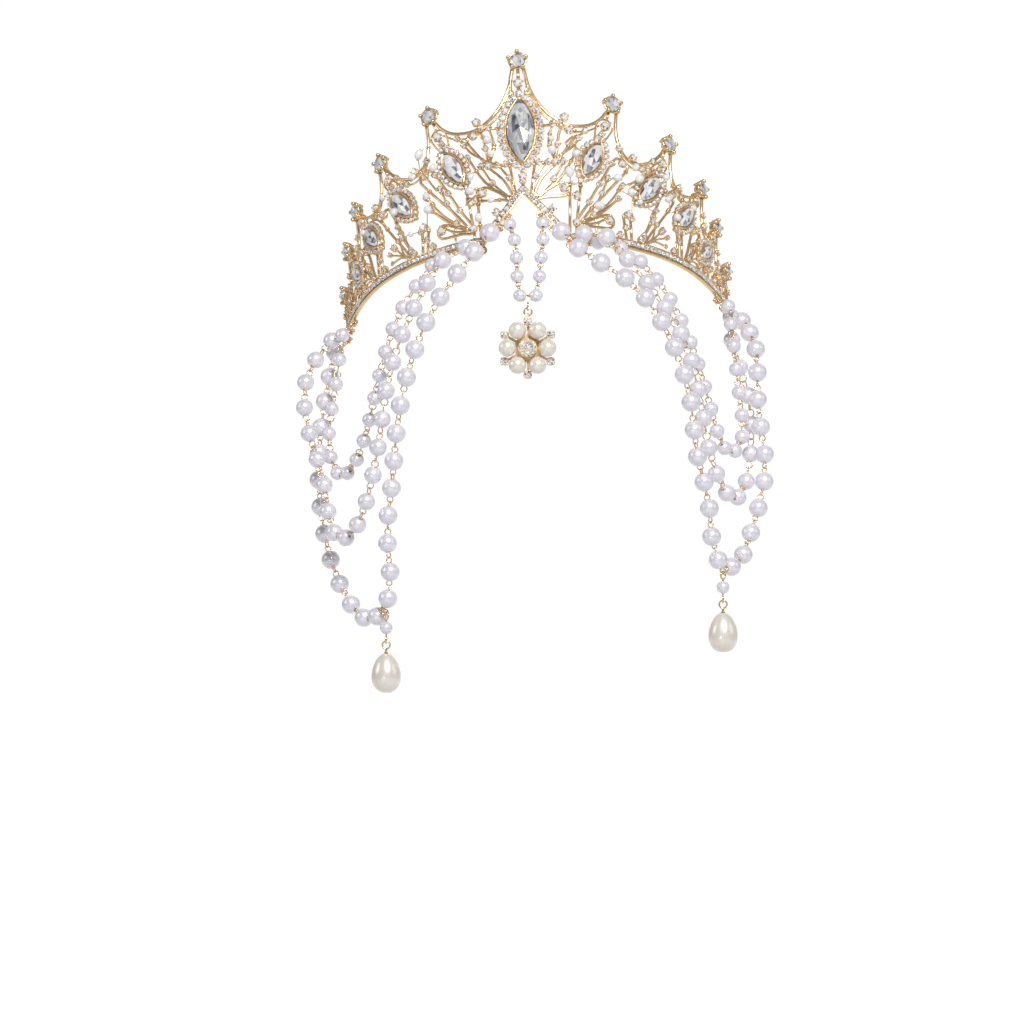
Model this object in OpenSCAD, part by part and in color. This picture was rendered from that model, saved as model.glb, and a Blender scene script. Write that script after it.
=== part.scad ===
// Pearl crown: an openwork tiara with stones, three swags of pearls on each side,
// a flower pendant on the forehead and two pearl drops.
// Z is up, the front faces -Y, and the origin is the centre of the head's seat.

/* [Crown wall] */
// Radius of the wall's front stretch, seen from above
front_r = 72; // [66:1:80]
// Half angle of the front stretch, in degrees
front_angle = 62; // [55:1:68]
// Radius of the flatter stretches at the sides
side_r = 125; // [100:5:180]
// Outward lean of the wall, in degrees
flare = 4.5; // [2:0.5:7]
// Lean of the whole crown towards the back of the head, in degrees
lean = 22.6; // [18:0.2:27]
// Lift of the +X end over the other end, in degrees
cant = 3.4; // [0:0.2:5]
// Half length of the band along its lower edge
band_half = 118; // [114:1:124]
// Height of the band
band_h = 3.0; // [2.4:0.1:3.6]
// Thickness of the band and the bars
band_t = 1.3; // [1:0.1:1.6]
// Radius of the soldered wires
wire_r = 0.6; // [0.45:0.05:0.65]

/* [Stones] */
// Diameter of the round stones on the tips
tip_d = 6.2; // [5:0.1:7]
// Gap between a stone and its setting
stone_gap = 0.15; // [0.1:0.05:0.25]

/* [Strings] */
// Diameter of the outer string's pearls
outer_d = 8.0; // [7:0.1:8.4]
// Diameter of the middle string's pearls
middle_d = 7.4; // [6.5:0.1:8]
// Diameter of the inner string's pearls
inner_d = 6.2; // [5:0.1:6.6]
// Diameter of the brow string's pearls
brow_d = 5.5; // [4.5:0.1:5.8]
// Radius of the thread
thread_r = 0.4; // [0.3:0.05:0.45]
// Radius of the hole through each pearl
bore_r = 0.75; // [0.7:0.05:0.9]

/* [Drops and pendant] */
// Inner radius of the small links
link_in = 1.1; // [1:0.1:1.3]
// Radius of the links' wire
link_wire = 0.35; // [0.3:0.05:0.4]
// Gap between two links that hang in each other
link_gap = 0.15; // [0.1:0.05:0.2]
// Diameter of the pearl drops
drop_d = 11.4; // [10:0.2:13]
// Length of the pearl drops
drop_len = 15.4; // [13:0.2:18]
// Diameter of the pendant's pearls
petal_d = 7.2; // [6:0.1:7.3]
// Radius of the pendant's ring of pearls
petal_ring = 7.55; // [7.4:0.05:8]

/* [Hidden] */

gold = [0.85, 0.66, 0.42];
strand_white = [0.93, 0.92, 0.97];
cream = [0.94, 0.90, 0.80];
crystal = [0.80, 0.84, 0.88];

// Height of the stones' backs over the middle of the wall
stone_seat = 0.9;
// Sides of a soldered wire and of a thread
wire_sides = 4;
thread_sides = 5;

// Tips of the crown. Columns: along the band, height of the stone's middle.
tips = [[0, 74.7], [34.3, 58.1], [59.6, 48.3], [81, 38.1], [95.5, 27.9], [109.4, 15.4]];
// Lowest height of the wire between each tip and the next
dips = [47.7, 35.7, 30.3, 21.3, 9.8];
// How the wire falls from a tip and climbs to the next. Columns: share of the way along,
// share of the height over the dip, with the first rows up to the dip falling.
front_fall = [[0, 1], [0.055, 0.68], [0.15, 0.4], [0.29, 0.17], [0.5, 0.01], [0.74, 0.06],
              [0.9, 0.46], [1, 1]];
side_fall = [[0, 1], [-0.01, 0.6], [0.06, 0.26], [0.22, 0.05], [0.42, 0], [0.68, 0.24],
             [0.86, 0.6], [1, 1]];
dip_row = 4;
// Foot of a tip's setting, on both sides of it and below its stone
foot = [1.9, 3.0];

// Pointed stones. Columns: along, height, length, width, lean outwards in degrees, width of
// the halo of small stones round it.
centre_marquise = [0, 45, 26.4, 10.6, 0, 3.3];
side_marquises = [[26, 33.6, 15.5, 6.4, 27, 2.4], [50, 26.2, 15, 6.2, 38, 2.4],
                  [69.5, 20.8, 13.5, 5.6, 40, 2.4], [85.5, 12.6, 10.5, 4.6, 48, 2.4]];
// Width and height of the rim round a pointed stone
bezel_w = 0.9;
bezel_rise = 0.9;
// How far the back plates reach behind the middle of the wall
plate_back = 0.5;
// A pointed outline grows this much more in length than in width
point_grow = 1.12;
// Shares of a cut stone's width: girdle, whole height, table, and the heights of the small
// and the pointed stones. A pointed stone's table is given in width and length.
girdle = 0.1;
cut_h = 0.36;
table = 0.56;
small_cut_h = 0.34;
long_cut_h = 0.3;
long_table = [0.5, 0.6];
table_t = 0.02;
facets = 8;

// Round stones' cups: how much wider than the stone, and how far behind the wall's middle
cup_rim = 0.6;
cup_back = 0.4;
// Settings on the tips: back end, share of the stone's width there, start of the claws' ring,
// reach of the claws and of the ring between them, play round the stone, claws' height as a
// share of the stone's width
tip_back = 1.6;
tip_taper = 0.55;
claw_back = 0.5;
claw_reach = 1.5;
ring_reach = 0.7;
claw_play = 0.3;
claw_rise = 0.2;
claw_count = 5;

// Plain lip below the band: its height, and how far it stands out
lip_h = 1.2;
lip_out = 0.6;
// Every other section of the band is a little larger, so that no wire runs into a flat
// four-sided face
band_steps = 16;
band_swell = 0.08;

// Inverted V of the front. Its bars run from the apex down to the band.
apex_h = 21;
bar_foot = 16.8;
bar_low = 0.8;
bar_w = 2.6;
bar_t = band_t + 0.3;
bar_steps = 4;
// The band starts this much before the foot of the bars
band_lap = 1.2;

// Loops of wire with a stone near the tip.
// Columns: base along, base height, tip along, tip height, width, stone diameter.
petals = [[4.4, 17.2, 17.2, 21.6, 5.4, 3.6], [12.4, 31.6, 18.2, 47, 6, 3.2],
          [20.4, 7.6, 39.2, 35.6, 6.2, 3.2], [20.6, 6.2, 34.6, 9.6, 5.4, 3.4],
          [46.6, 2, 61.4, 28, 6, 3.2], [70.8, 2, 79.4, 20.4, 5.2, 3], [92, 2, 100, 8.8, 4.4, 2.8]];
// Half width of a loop at its base, and how far its stone stays from the tip
petal_throat = 0.75;
petal_inset = 0.35;
// Straight and bowed wires.
// Columns: start along, start height, end along, end height, bow to the left.
rays = [[2.8, 18.4, 4.6, 31, 0], [3.6, 17.6, 12, 30.8, 1.2], [4.6, 16.4, 20.6, 37.4, -2],
        [3, 31.6, 12, 31.8, 0], [17, 1.8, 17.6, 23.4, 0], [19.6, 1.8, 19.6, 6, 0],
        [19.9, 8, 21.8, 24.2, 0], [21, 7, 37, 19.6, -1.2], [40.2, 1.8, 38.8, 12.4, 0],
        [42.4, 1.8, 41.8, 12.6, 0], [44.2, 1.8, 53.8, 18, -1], [66, 1.8, 65.6, 14, 0],
        [68.6, 1.8, 68.2, 14.8, 0], [85.8, 1.8, 85, 8.8, 0], [89.4, 1.8, 92.2, 19.4, 0.8],
        [103.2, 1.8, 103.5, 10.1, 0], [108.4, 1.8, 108, 12.9, 0], [7.6, 47.2, 15, 48.2, 0]];
// Round stones in small cups beside those of the loops and keyholes.
// Columns: along, height, diameter.
side_accents = [[16, 50.6, 3.4], [42.6, 37.4, 3.2], [65.6, 32, 3], [83.6, 23, 3],
                [12.4, 31.8, 3], [19.8, 18, 3.4], [19.6, 6.9, 3.2], [40.3, 13, 3.4]];
centre_accents = [[0, 65.2, 4], [0, 26, 3.2]];
// Keyhole discs between a tip and its pointed stone, each with a stone.
// Columns: along, height, radius of the disc, stone diameter.
keyholes = [[31.4, 48.4, 3.1, 3.8], [56.2, 39, 3, 3.6], [77.2, 31.5, 2.7, 3.2],
            [91.8, 21.7, 2.4, 3]];
// The wires of a keyhole start this far inside its disc and end this far below the tip
keyhole_bite = 1;
tip_bite = 2.4;
// Arch over the centre stone. Columns: along, height.
arch_rows = [[2, 71.8], [2.9, 66.4], [3.4, 59.6]];
// Upright wires on the centre line. Columns: lower end, upper end.
stems = [[20, 29], [60, 63.8], [66.6, 72]];
// Wire from the last tip down to the band. Columns: along, height.
end_rows = [[111.3, 12.4], [112.6, 7.4], [115.4, 2]];

// Where the strings start on the crown and where they end on it.
// Columns: along, height. The runs are outer, middle, inner.
left_starts = [[9.5, 5.9], [16.6, -2.3], [32, -2.3]];
right_starts = [[10.5, 4.7], [17, -2.3], [22, -2.3]];
string_ends = [[114, -2.3], [106, -2.3], [98.4, -2.3]];
brow_start = [6.2, 9.9];
eye_r = 1.3;
eye_wire = 0.42;
// A thread leaves its eye forwards by this much, so that the first pearl clears the wall
thread_lead = 4.6;
// The brow thread has dropped by this much there
brow_sag = 2;
// Crimp behind the eye: radius, and where it ends. Then the bare thread, in and out of the eye.
crimp_r = 1.0;
crimp_ends = [2.6, 1.5];
thread_ends = [1.2, 1.4];

// Routes of the strings between their two eyes. Columns: x, y, z.
left_outer = [[-23, -78.5, 19], [-36.5, -81, 0], [-45, -80.5, -21.5], [-50, -76, -44],
              [-52, -69, -64], [-55, -63.5, -83.5], [-53, -63, -105], [-60, -54.5, -117.5],
              [-70, -40.5, -113], [-79.5, -30.5, -95.5], [-84.5, -25, -72.5], [-85.5, -19, -50],
              [-83.5, -11.5, -28.5]];
left_middle = [[-31, -69.5, 23], [-44, -77, 0], [-52.5, -77.5, -22.5], [-56.5, -72.5, -46],
               [-61, -66.5, -67.5], [-68.5, -56.5, -84.5], [-78, -42.5, -84], [-82, -34, -63],
               [-89.5, -28, -41.5], [-90.5, -20, -21]];
left_inner = [[-47.5, -65, 4.5], [-53.5, -73, -11.5], [-58, -66.5, -27], [-62.5, -56.5, -42.5],
              [-68.5, -45.5, -57], [-77, -31.5, -62], [-81.5, -23.5, -46.5], [-78.5, -20, -24.5]];
right_outer = [[20, -78, 22], [39, -79.5, 10.5], [53, -79, -9.5], [61, -75.5, -33],
               [63, -69.5, -54], [68, -61.5, -71.5], [70, -60, -94], [79, -48, -96.5],
               [85, -36, -81.5], [90.5, -31, -59.5], [87, -30, -34], [87, -24, -11.5]];
right_middle = [[25, -73.5, 32], [43, -74, 12.5], [58.5, -69, -10], [64.5, -60.5, -32.5],
                [68.5, -55.5, -54.5], [75.5, -43, -70], [82.5, -27.5, -66.5], [85, -22, -35.5],
                [76.5, -19, -6.5]];
right_inner = [[35.5, -66, 24.5], [50, -64, 10.5], [59.5, -60.5, -7.5], [65.5, -55, -24.5],
               [70, -50.5, -40.5], [74.5, -43, -53], [81.5, -31.5, -48], [79.5, -28, -26],
               [77, -25.5, -3]];
brow_half = [[5.6, -73.5, 29], [4.8, -77, 22], [4.2, -79.5, 15.1], [4, -82, 8.6]];
brow_foot = [2, -83.6, 1.9];

// Number of pearls on each run, left and right
outer_count = [28, 27];
middle_count = [22, 20];
inner_count = [18, 20];
brow_count = 5;
// Pearls of the outer run before its drop
hook_after = 15;
walk_steps = 6;

/*
   Places on the wall
*/
side_start = front_r * front_angle * PI / 180;
function degrees(r) = r * 180 / PI;
function unit(v) = v / norm(v);

// Heading of the wall's outward side at a distance along the band
function heading(s) =
    sign(s) * (abs(s) <= side_start
        ? degrees(abs(s) / front_r)
        : front_angle + degrees((abs(s) - side_start) / side_r));

// The band's middle line seen from above
function plan(s) =
    let (a = abs(heading(s)))
    abs(s) <= side_start
        ? [sign(s) * front_r * sin(a), -front_r * cos(a)]
        : [sign(s) * (front_r * sin(front_angle) + side_r * (sin(a) - sin(front_angle))),
           -front_r * cos(front_angle) + side_r * (cos(front_angle) - cos(a))];

// A point of the wall: s along the band, h up the wall, d outwards
function wall(s, h, d) =
    let (a = heading(s), p = plan(s), out = h * sin(flare) + d * cos(flare))
    [p.x + out * sin(a), p.y - out * cos(a), h * cos(flare) - d * sin(flare)];

function outward(s) =
    let (a = heading(s)) [cos(flare) * sin(a), -cos(flare) * cos(a), -sin(flare)];

// The crown's own frame turned into the part's frame
function turn_x(p, a) = [p.x, p.y * cos(a) - p.z * sin(a), p.y * sin(a) + p.z * cos(a)];
function turn_y(p, a) = [p.x * cos(a) + p.z * sin(a), p.y, p.z * cos(a) - p.x * sin(a)];
function placed(p) = turn_y(turn_x(p, -lean), -cant);
module crown_pose() {
    rotate([-lean, -cant, 0]) children();
}

module on_wall(s, h, d = 0, turn = 0) {
    translate(wall(s, h, d)) rotate([90 + flare, 0, heading(s)]) rotate([0, 0, -turn])
        children();
}

/*
   Curves and sweeps
*/
function spline(a, b, c, d, t) =
    0.5 * (2 * b + (c - a) * t + (2 * a - 5 * b + 4 * c - d) * t * t
           + (3 * b - a - 3 * c + d) * t * t * t);

// A smooth curve through the rows of a table, with n steps between two rows
function smooth(rows, n) =
    let (last = len(rows) - 1)
    concat([for (i = [0:last - 1]) for (k = [0:n - 1])
                spline(rows[max(i - 1, 0)], rows[i], rows[i + 1], rows[min(i + 2, last)], k / n)],
           [rows[last]]);

function circle_section(r, n) = [for (k = [0:n - 1]) r * [cos(360 * k / n), sin(360 * k / n)]];
function box_section(w, t) = [[w, t], [-w, t], [-w, -t], [w, -t]] / 2;

// A section swept along a path. Each section's second axis follows outs, and sizes scale it.
module sweep(section, path, outs, closed = false, sizes = undef) {
    n = len(section);
    m = len(path);
    rings = [for (i = [0:m - 1])
        let (before = closed ? path[(i + m - 1) % m] : path[max(i - 1, 0)],
             after = closed ? path[(i + 1) % m] : path[min(i + 1, m - 1)],
             along = unit(after - before),
             out = unit(outs[i] - (outs[i] * along) * along),
             across = cross(out, along),
             size = is_undef(sizes) ? 1 : sizes[i])
        for (q = section) path[i] + size * (q[0] * across + q[1] * out)];
    spans = closed ? m : m - 1;
    sides = [for (i = [0:spans - 1]) for (k = [0:n - 1])
        let (j = (i + 1) % m, l = (k + 1) % n)
        [i * n + k, j * n + k, j * n + l, i * n + l]];
    caps = closed ? [] : [[for (k = [0:n - 1]) k], [for (k = [n - 1:-1:0]) (m - 1) * n + k]];
    polyhedron(rings, concat(sides, caps), convexity = 4);
}

// A wire on the wall through rows of distance along the band and height
module wire(rows, closed = false) {
    sweep(circle_section(wire_r, wire_sides), [for (q = rows) wall(q[0], q[1], 0)],
          [for (q = rows) outward(q[0])], closed);
}

/*
   Outlines on the wall, as rows of distance along the band and height
*/
function flip(rows, side) = [for (q = rows) [side * q[0], q[1]]];

// A pointed oval: two arcs that meet above and below, upright about the origin
function pointed(row, grow) =
    let (half = row[2] / 2 + grow * point_grow, w = row[3] / 2 + grow,
         r = (half * half + w * w) / (2 * w), arc = asin(half / r),
         steps = row[2] > 20 ? 7 : 5)
    [for (k = [0:2 * steps - 1])
        let (right = k < steps, a = arc * (right ? 1 - 2 * k / steps : 2 * k / steps - 3))
        [(right ? 1 : -1) * (r * cos(a) - r + w), r * sin(a)]];

// An open loop whose two ends meet the base side by side, with a round tip
function petal_outline(row, side) =
    let (run = [row[2] - row[0], row[3] - row[1]], l = norm(run), t = run / l,
         half = row[4] / 2, neck = l - half,
         rise = [[0, petal_throat], [neck * 0.55, half * 0.62], [neck, half],
                 [neck + half * sin(45), half * cos(45)]],
         turn = concat(rise, [[l, 0]], [for (k = [3:-1:0]) [rise[k][0], -rise[k][1]]]))
    [for (q = turn) [side * (row[0] + q[0] * t[0] - q[1] * t[1]),
                     row[1] + q[0] * t[1] + q[1] * t[0]]];

function petal_stone(row) =
    let (run = [row[2] - row[0], row[3] - row[1]], back = row[5] / 2 + petal_inset)
    [row[2] - unit(run)[0] * back, row[3] - unit(run)[1] * back, row[5]];

// The wire between tip i and the next
function fall(i) =
    let (shape = i == 0 ? front_fall : side_fall,
         from = tips[i] + [foot[0], -foot[1]], to = tips[i + 1] - foot)
    [for (k = [0:len(shape) - 1])
        [from[0] + shape[k][0] * (to[0] - from[0]),
         dips[i] + shape[k][1] * ((k < dip_row ? from[1] : to[1]) - dips[i])]];

cupped = concat([for (q = petals) petal_stone(q)], side_accents);
accents = concat(cupped, [for (q = keyholes) [q[0], q[1], q[3]]]);
function both_sides(rows) = [for (side = [-1, 1]) for (q = rows) [side * q[0], q[1], q[2]]];

/*
   Stones
*/
// A round cut stone on its back: a girdle, eight crown facets and a table
module round_stone(d) {
    cylinder(d = d, h = d * girdle, $fn = facets);
    translate([0, 0, d * girdle])
        cylinder(d1 = d, d2 = d * table, h = d * (cut_h - girdle), $fn = facets);
}

// A small round stone without a girdle
module small_stone(d) {
    cylinder(d1 = d, d2 = d * table, h = d * small_cut_h, $fn = facets);
}

// A pointed cut stone on its back
module pointed_stone(row) {
    rim = pointed(row, 0);
    hull() {
        linear_extrude(row[3] * girdle) polygon(rim);
        translate([0, 0, row[3] * long_cut_h]) linear_extrude(table_t) scale(long_table)
            polygon(rim);
    }
}

tip_rows = concat([for (i = [5:-1:1]) [-tips[i][0], tips[i][1]]], tips);
function tip_size(i) = tip_d * (1 - 0.03 * abs(i - 5));
module tip_stone(i) {
    color(crystal) crown_pose() on_wall(tip_rows[i][0], tip_rows[i][1], stone_seat + stone_gap)
        round_stone(tip_size(i));
}

marquise_rows = concat(
    [for (i = [3:-1:0]) let (q = side_marquises[i]) [-q[0], q[1], q[2], q[3], -q[4], q[5]]],
    [centre_marquise], side_marquises);
module marquise(i) {
    q = marquise_rows[i];
    color(crystal) crown_pose() on_wall(q[0], q[1], stone_seat + stone_gap, q[4])
        pointed_stone(q);
}

module accent_stones() {
    color(crystal) crown_pose() for (q = concat(centre_accents, both_sides(accents)))
        on_wall(q[0], q[1], stone_seat + stone_gap) small_stone(q[2]);
}

/*
   Soldered frame
*/
// A solid cup under a round stone, from behind the wall to the stone's back
module cup(d) {
    translate([0, 0, -cup_back]) cylinder(d = d, h = stone_seat + cup_back, $fn = 6);
}

// A tapered cup on a tip, with a ring of claws round the stone
module tip_setting(i) {
    d = tip_size(i);
    turn = 180 / claw_count;
    star = [for (k = [0:2 * claw_count - 1])
        (d / 2 + (k % 2 == 0 ? claw_reach : ring_reach)) * [sin(turn * k), cos(turn * k)]];
    on_wall(tip_rows[i][0], tip_rows[i][1]) {
        hull() {
            translate([0, 0, -tip_back]) cylinder(d = d * tip_taper, h = 0.2, $fn = facets);
            translate([0, 0, -cup_back]) cylinder(d = d, h = 0.2, $fn = facets);
        }
        difference() {
            translate([0, 0, -claw_back])
                linear_extrude(stone_seat + d * claw_rise + claw_back) polygon(star);
            translate([0, 0, stone_seat])
                cylinder(r = d / 2 + claw_play, h = d, $fn = facets);
        }
    }
}

// Back plate of a pointed stone, as wide as its halo, with a raised rim round the stone
module pointed_setting(row) {
    bezel_out = stone_gap + bezel_w;
    on_wall(row[0], row[1], 0, row[4]) {
        translate([0, 0, -plate_back]) linear_extrude(stone_seat + plate_back)
            polygon(pointed(row, bezel_out + row[5]));
        linear_extrude(stone_seat + bezel_rise) difference() {
            polygon(pointed(row, bezel_out));
            polygon(pointed(row, stone_gap));
        }
    }
}

// Band on one side, with its plain lip along the lower edge
module band(side) {
    start = bar_foot - band_lap;
    rows = [for (k = [0:band_steps]) start + (band_half - start) * k / band_steps];
    section = [[band_h, band_t / 2], [0, band_t / 2], [0, band_t / 2 + lip_out],
               [-lip_h, band_t / 2 + lip_out], [-lip_h, -band_t / 2], [band_h, -band_t / 2]];
    upright = [for (q = section) [side * q[0], q[1]]];
    sweep(side > 0 ? upright : [for (k = [5:-1:0]) upright[k]],
          [for (s = rows) wall(side * s, 0, 0)], [for (s = rows) outward(side * s)],
          sizes = [for (k = [0:band_steps]) 1 + (k % 2) * band_swell]);
}

module chevron_bar(side) {
    rows = [for (k = [0:bar_steps])
        [side * bar_foot * k / bar_steps, apex_h + (bar_low - apex_h) * k / bar_steps]];
    sweep(box_section(bar_w, bar_t), [for (q = rows) wall(q[0], q[1], 0)],
          [for (q = rows) outward(q[0])]);
}

// A small ring on the wall that a thread passes through
module eye(at) {
    path = [for (k = [0:5]) wall(at[0] + eye_r * cos(60 * k), at[1] + eye_r * sin(60 * k), 0)];
    sweep(circle_section(eye_wire, wire_sides), path, [for (q = path) outward(at[0])], true);
}

// Wires that carry each keyhole between its tip and its pointed stone
module keyhole_links(i, side) {
    tip = tips[i + 1];
    hole = [keyholes[i][0], keyholes[i][1]];
    stone = [side_marquises[i][0], side_marquises[i][1]];
    up = unit(tip - hole);
    from = keyholes[i][2] - keyhole_bite;
    wire(flip([hole + from * up, tip - tip_bite * up], side));
    down = unit(stone - hole);
    reach = norm(stone - hole) - side_marquises[i][2] / 2 - bezel_w - side_marquises[i][5] / 2;
    wire(flip([hole + from * down, hole + reach * down], side));
}

// Wires over and under the centre stone
module centre_wires() {
    for (side = [-1, 1]) wire(flip(arch_rows, side));
    for (q = stems) wire([[0, q[0]], [0, q[1]]]);
}

module tiara_frame() {
    color(gold) crown_pose() {
        for (side = [-1, 1]) {
            band(side);
            chevron_bar(side);
            for (i = [0:4]) wire(flip(fall(i), side));
            wire(flip(end_rows, side));
            for (q = petals) wire(petal_outline(q, side));
            for (q = rays) ray(q, side);
            for (q = keyholes) on_wall(side * q[0], q[1]) cup(2 * q[2]);
            for (i = [0:3]) keyhole_links(i, side);
            for (q = concat(side < 0 ? left_starts : right_starts, string_ends, [brow_start]))
                eye([side * q[0], q[1]]);
        }
        centre_wires();
        for (i = [0:10]) tip_setting(i);
        for (q = marquise_rows) pointed_setting(q);
        for (q = concat(centre_accents, both_sides(cupped))) on_wall(q[0], q[1])
            cup(q[2] + cup_rim);
    }
}

module ray(row, side) {
    from = [row[0], row[1]];
    to = [row[2], row[3]];
    t = unit(to - from);
    middle = (from + to) / 2 + row[4] * [-t[1], t[0]];
    wire(flip(row[4] == 0 ? [from, to] : [from, middle, to], side));
}

/*
   Strings of pearls
*/
// Places at equal steps along a route. Each pearl sits in the middle of one step.
function walk(route, count) =
    let (curve = smooth(route, walk_steps),
         reach = [for (i = 0, l = 0; i < len(curve);
                       l = l + (i + 1 < len(curve) ? norm(curve[i + 1] - curve[i]) : 0), i = i + 1) l],
         total = reach[len(reach) - 1])
    [for (k = [0:count])
        [for (axis = [0:2]) lookup(total * k / count,
                                   [for (i = [0:len(curve) - 1]) [reach[i], curve[i][axis]]])]];

function string_start(side, run) =
    let (q = side < 0 ? left_starts[run] : right_starts[run]) [side * q[0], q[1]];
function string_end(side, run) = [side * string_ends[run][0], string_ends[run][1]];
function before_eye(at, sag = 0) = placed(wall(at[0], at[1] - sag, thread_lead));
function string_route(side, run, rows) =
    concat([before_eye(string_start(side, run))], rows, [before_eye(string_end(side, run))]);

left_walks = [walk(string_route(-1, 0, left_outer), outer_count[0]),
              walk(string_route(-1, 1, left_middle), middle_count[0]),
              walk(string_route(-1, 2, left_inner), inner_count[0])];
right_walks = [walk(string_route(1, 0, right_outer), outer_count[1]),
               walk(string_route(1, 1, right_middle), middle_count[1]),
               walk(string_route(1, 2, right_inner), inner_count[1])];

function brow_route(side) =
    concat([before_eye([side * brow_start[0], brow_start[1]], brow_sag)],
           [for (q = brow_half) [side * q[0], q[1], q[2]]],
           [[side * brow_foot[0], brow_foot[1], brow_foot[2]]]);
brow_walks = [walk(brow_route(-1), brow_count), walk(brow_route(1), brow_count)];

// Turns +Z to a direction
module aim(v) {
    rotate([0, acos(v.z / norm(v)), atan2(v.y, v.x)]) children();
}

module pearl(from, to, d) {
    translate((from + to) / 2) aim(to - from) difference() {
        sphere(d = d, $fn = 48);
        cylinder(r = bore_r, h = d + 1, center = true, $fn = 24);
    }
}

module pearls(steps, d) {
    color(strand_white) for (k = [0:len(steps) - 2]) pearl(steps[k], steps[k + 1], d);
}

// The thread's way from behind its eye to its front: crimp, then the bare thread
function lead_in(at) =
    let (out = placed(outward(at[0])), here = placed(wall(at[0], at[1], 0)))
    [here - crimp_ends[0] * out, here - crimp_ends[1] * out, here - thread_ends[0] * out,
     here + thread_ends[1] * out];
lead_sizes = [crimp_r / thread_r, crimp_r / thread_r, 1, 1];

module thread(steps, from, to, ref) {
    a = lead_in(from);
    b = lead_in(to);
    path = concat(a, steps, [for (k = [3:-1:0]) b[k]]);
    sizes = concat(lead_sizes, [for (q = steps) 1], [for (k = [3:-1:0]) lead_sizes[k]]);
    color(gold) sweep(circle_section(thread_r, thread_sides), path, [for (q = path) ref],
                      sizes = sizes);
}

module string_thread(side, run, steps) {
    thread(steps, string_start(side, run), string_end(side, run), [side, -1, 0]);
}

module brow_pearls() {
    pearls(brow_walks[0], brow_d);
    pearls(brow_walks[1], brow_d);
}

module brow_thread() {
    back = brow_walks[1];
    thread(concat(brow_walks[0], [for (k = [brow_count:-1:0]) back[k]]),
           [-brow_start[0], brow_start[1]], brow_start, [0, -1, 0.2]);
}

/*
   Links, drops and pendant
*/
link_mean = link_in + link_wire;
// How far the middle of a link hangs below the wire that carries it
link_hang = link_in - link_wire - link_gap;

module link() {
    rotate_extrude($fn = 32) translate([link_mean, 0]) circle(r = link_wire, $fn = 16);
}
module link_facing_front() {
    rotate([90, 0, 0]) link();
}
module link_facing_side() {
    rotate([0, 90, 0]) link();
}

// Brow link on the thread's lowest stretch, seen edge-on from the front
brow_low = [0, brow_foot.y, brow_foot.z];
brow_link_at = brow_low - [0, 0, link_in - thread_r - link_gap];
pendant_pivot = brow_link_at - [0, 0, link_mean];
module brow_link() {
    color(gold) translate(brow_link_at) link_facing_side();
}

pendant_ring_at = pendant_pivot - [0, 0, link_hang];
module pendant_ring() {
    color(gold) translate(pendant_ring_at) link_facing_front();
}

// The pendant's own eye hangs in the ring, and its flower is soldered below
pendant_eye_at = pendant_ring_at - [0, 0, link_mean + link_hang];
plate_t = 0.9;
// The flower's middle hangs this far below the eye. The strip up to the eye: width, lower end
// over the middle, length.
flower_hang = 11.6;
strip = [1, 9.4, 1];
flower_at = pendant_eye_at - [0, 0, flower_hang];
petal_angles = [for (k = [0:5]) 30 + 60 * k];
// Rings of stones round the middle, and the stones' diameter
small_ring = 2.25;
outer_ring = 10;
pendant_stone_d = 2.1;
// Middle plate, plates and pegs of the pearls, spokes of the outer stones and stones' cups
middle_plate_r = 5.2;
pearl_plate_r = 2.6;
pearl_peg = [0.5, 3];
pearl_hole_r = 0.7;
pearl_rise = 0.25;
spoke = [0.9, 4];
stone_cup = 0.6;
flower_stones = concat([[0, 0]], [for (k = [0:5]) small_ring * [sin(60 * k), cos(60 * k)]],
                       [for (k = [0:5]) outer_ring * [sin(60 * k), cos(60 * k)]]);
// Height of the stones' backs over the plate: the middle seven stand up between the pearls
middle_rise = 3.4;
outer_rise = 2;

// Turns a drawing so that its face looks to the front
module face_front(at) {
    translate(at) rotate([90, 0, 0]) children();
}

module pendant_setting() {
    color(gold) {
        translate(pendant_eye_at) link_facing_side();
        face_front(flower_at) {
            translate([-strip[0] / 2, strip[1], -plate_t]) cube([strip[0], strip[2], plate_t]);
            translate([0, 0, -plate_t]) cylinder(r = middle_plate_r, h = plate_t, $fn = 48);
            for (a = petal_angles) rotate(-a) translate([0, petal_ring, -plate_t]) {
                cylinder(r = pearl_plate_r, h = plate_t, $fn = 32);
                cylinder(r = pearl_peg[0], h = plate_t + pearl_peg[1], $fn = 16);
            }
            for (a = [0:60:300]) rotate(-a) {
                translate([-spoke[0] / 2, spoke[1], -plate_t])
                    cube([spoke[0], outer_ring - spoke[1], plate_t]);
                translate([0, outer_ring, -plate_t])
                    cylinder(d = pendant_stone_d + stone_cup, h = plate_t + outer_rise, $fn = 24);
            }
            cylinder(r = small_ring + (pendant_stone_d + stone_cup) / 2, h = middle_rise,
                     $fn = 32);
        }
    }
}

module pendant_stones() {
    color(crystal) face_front(flower_at) for (k = [0:len(flower_stones) - 1])
        translate([flower_stones[k][0], flower_stones[k][1],
                   (k < 7 ? middle_rise : outer_rise) + stone_gap]) small_stone(pendant_stone_d);
}

module pendant_pearl(k) {
    color(cream) face_front(flower_at) rotate(-petal_angles[k])
        translate([0, petal_ring, petal_d / 2 + pearl_rise]) difference() {
            sphere(d = petal_d, $fn = 48);
            translate([0, 0, -petal_d]) cylinder(r = pearl_hole_r, h = petal_d, $fn = 24);
        }
}

// Drops. Each hangs on a pin through a small pearl, and the pin hangs on a ring of the string.
drop_bead_d = 5;
bead_play = 0.2;
hook_r = 1.5;

// The string's way where the drop hangs
function way(steps) = unit(steps[hook_after + 1] - steps[hook_after - 1]);
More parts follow.
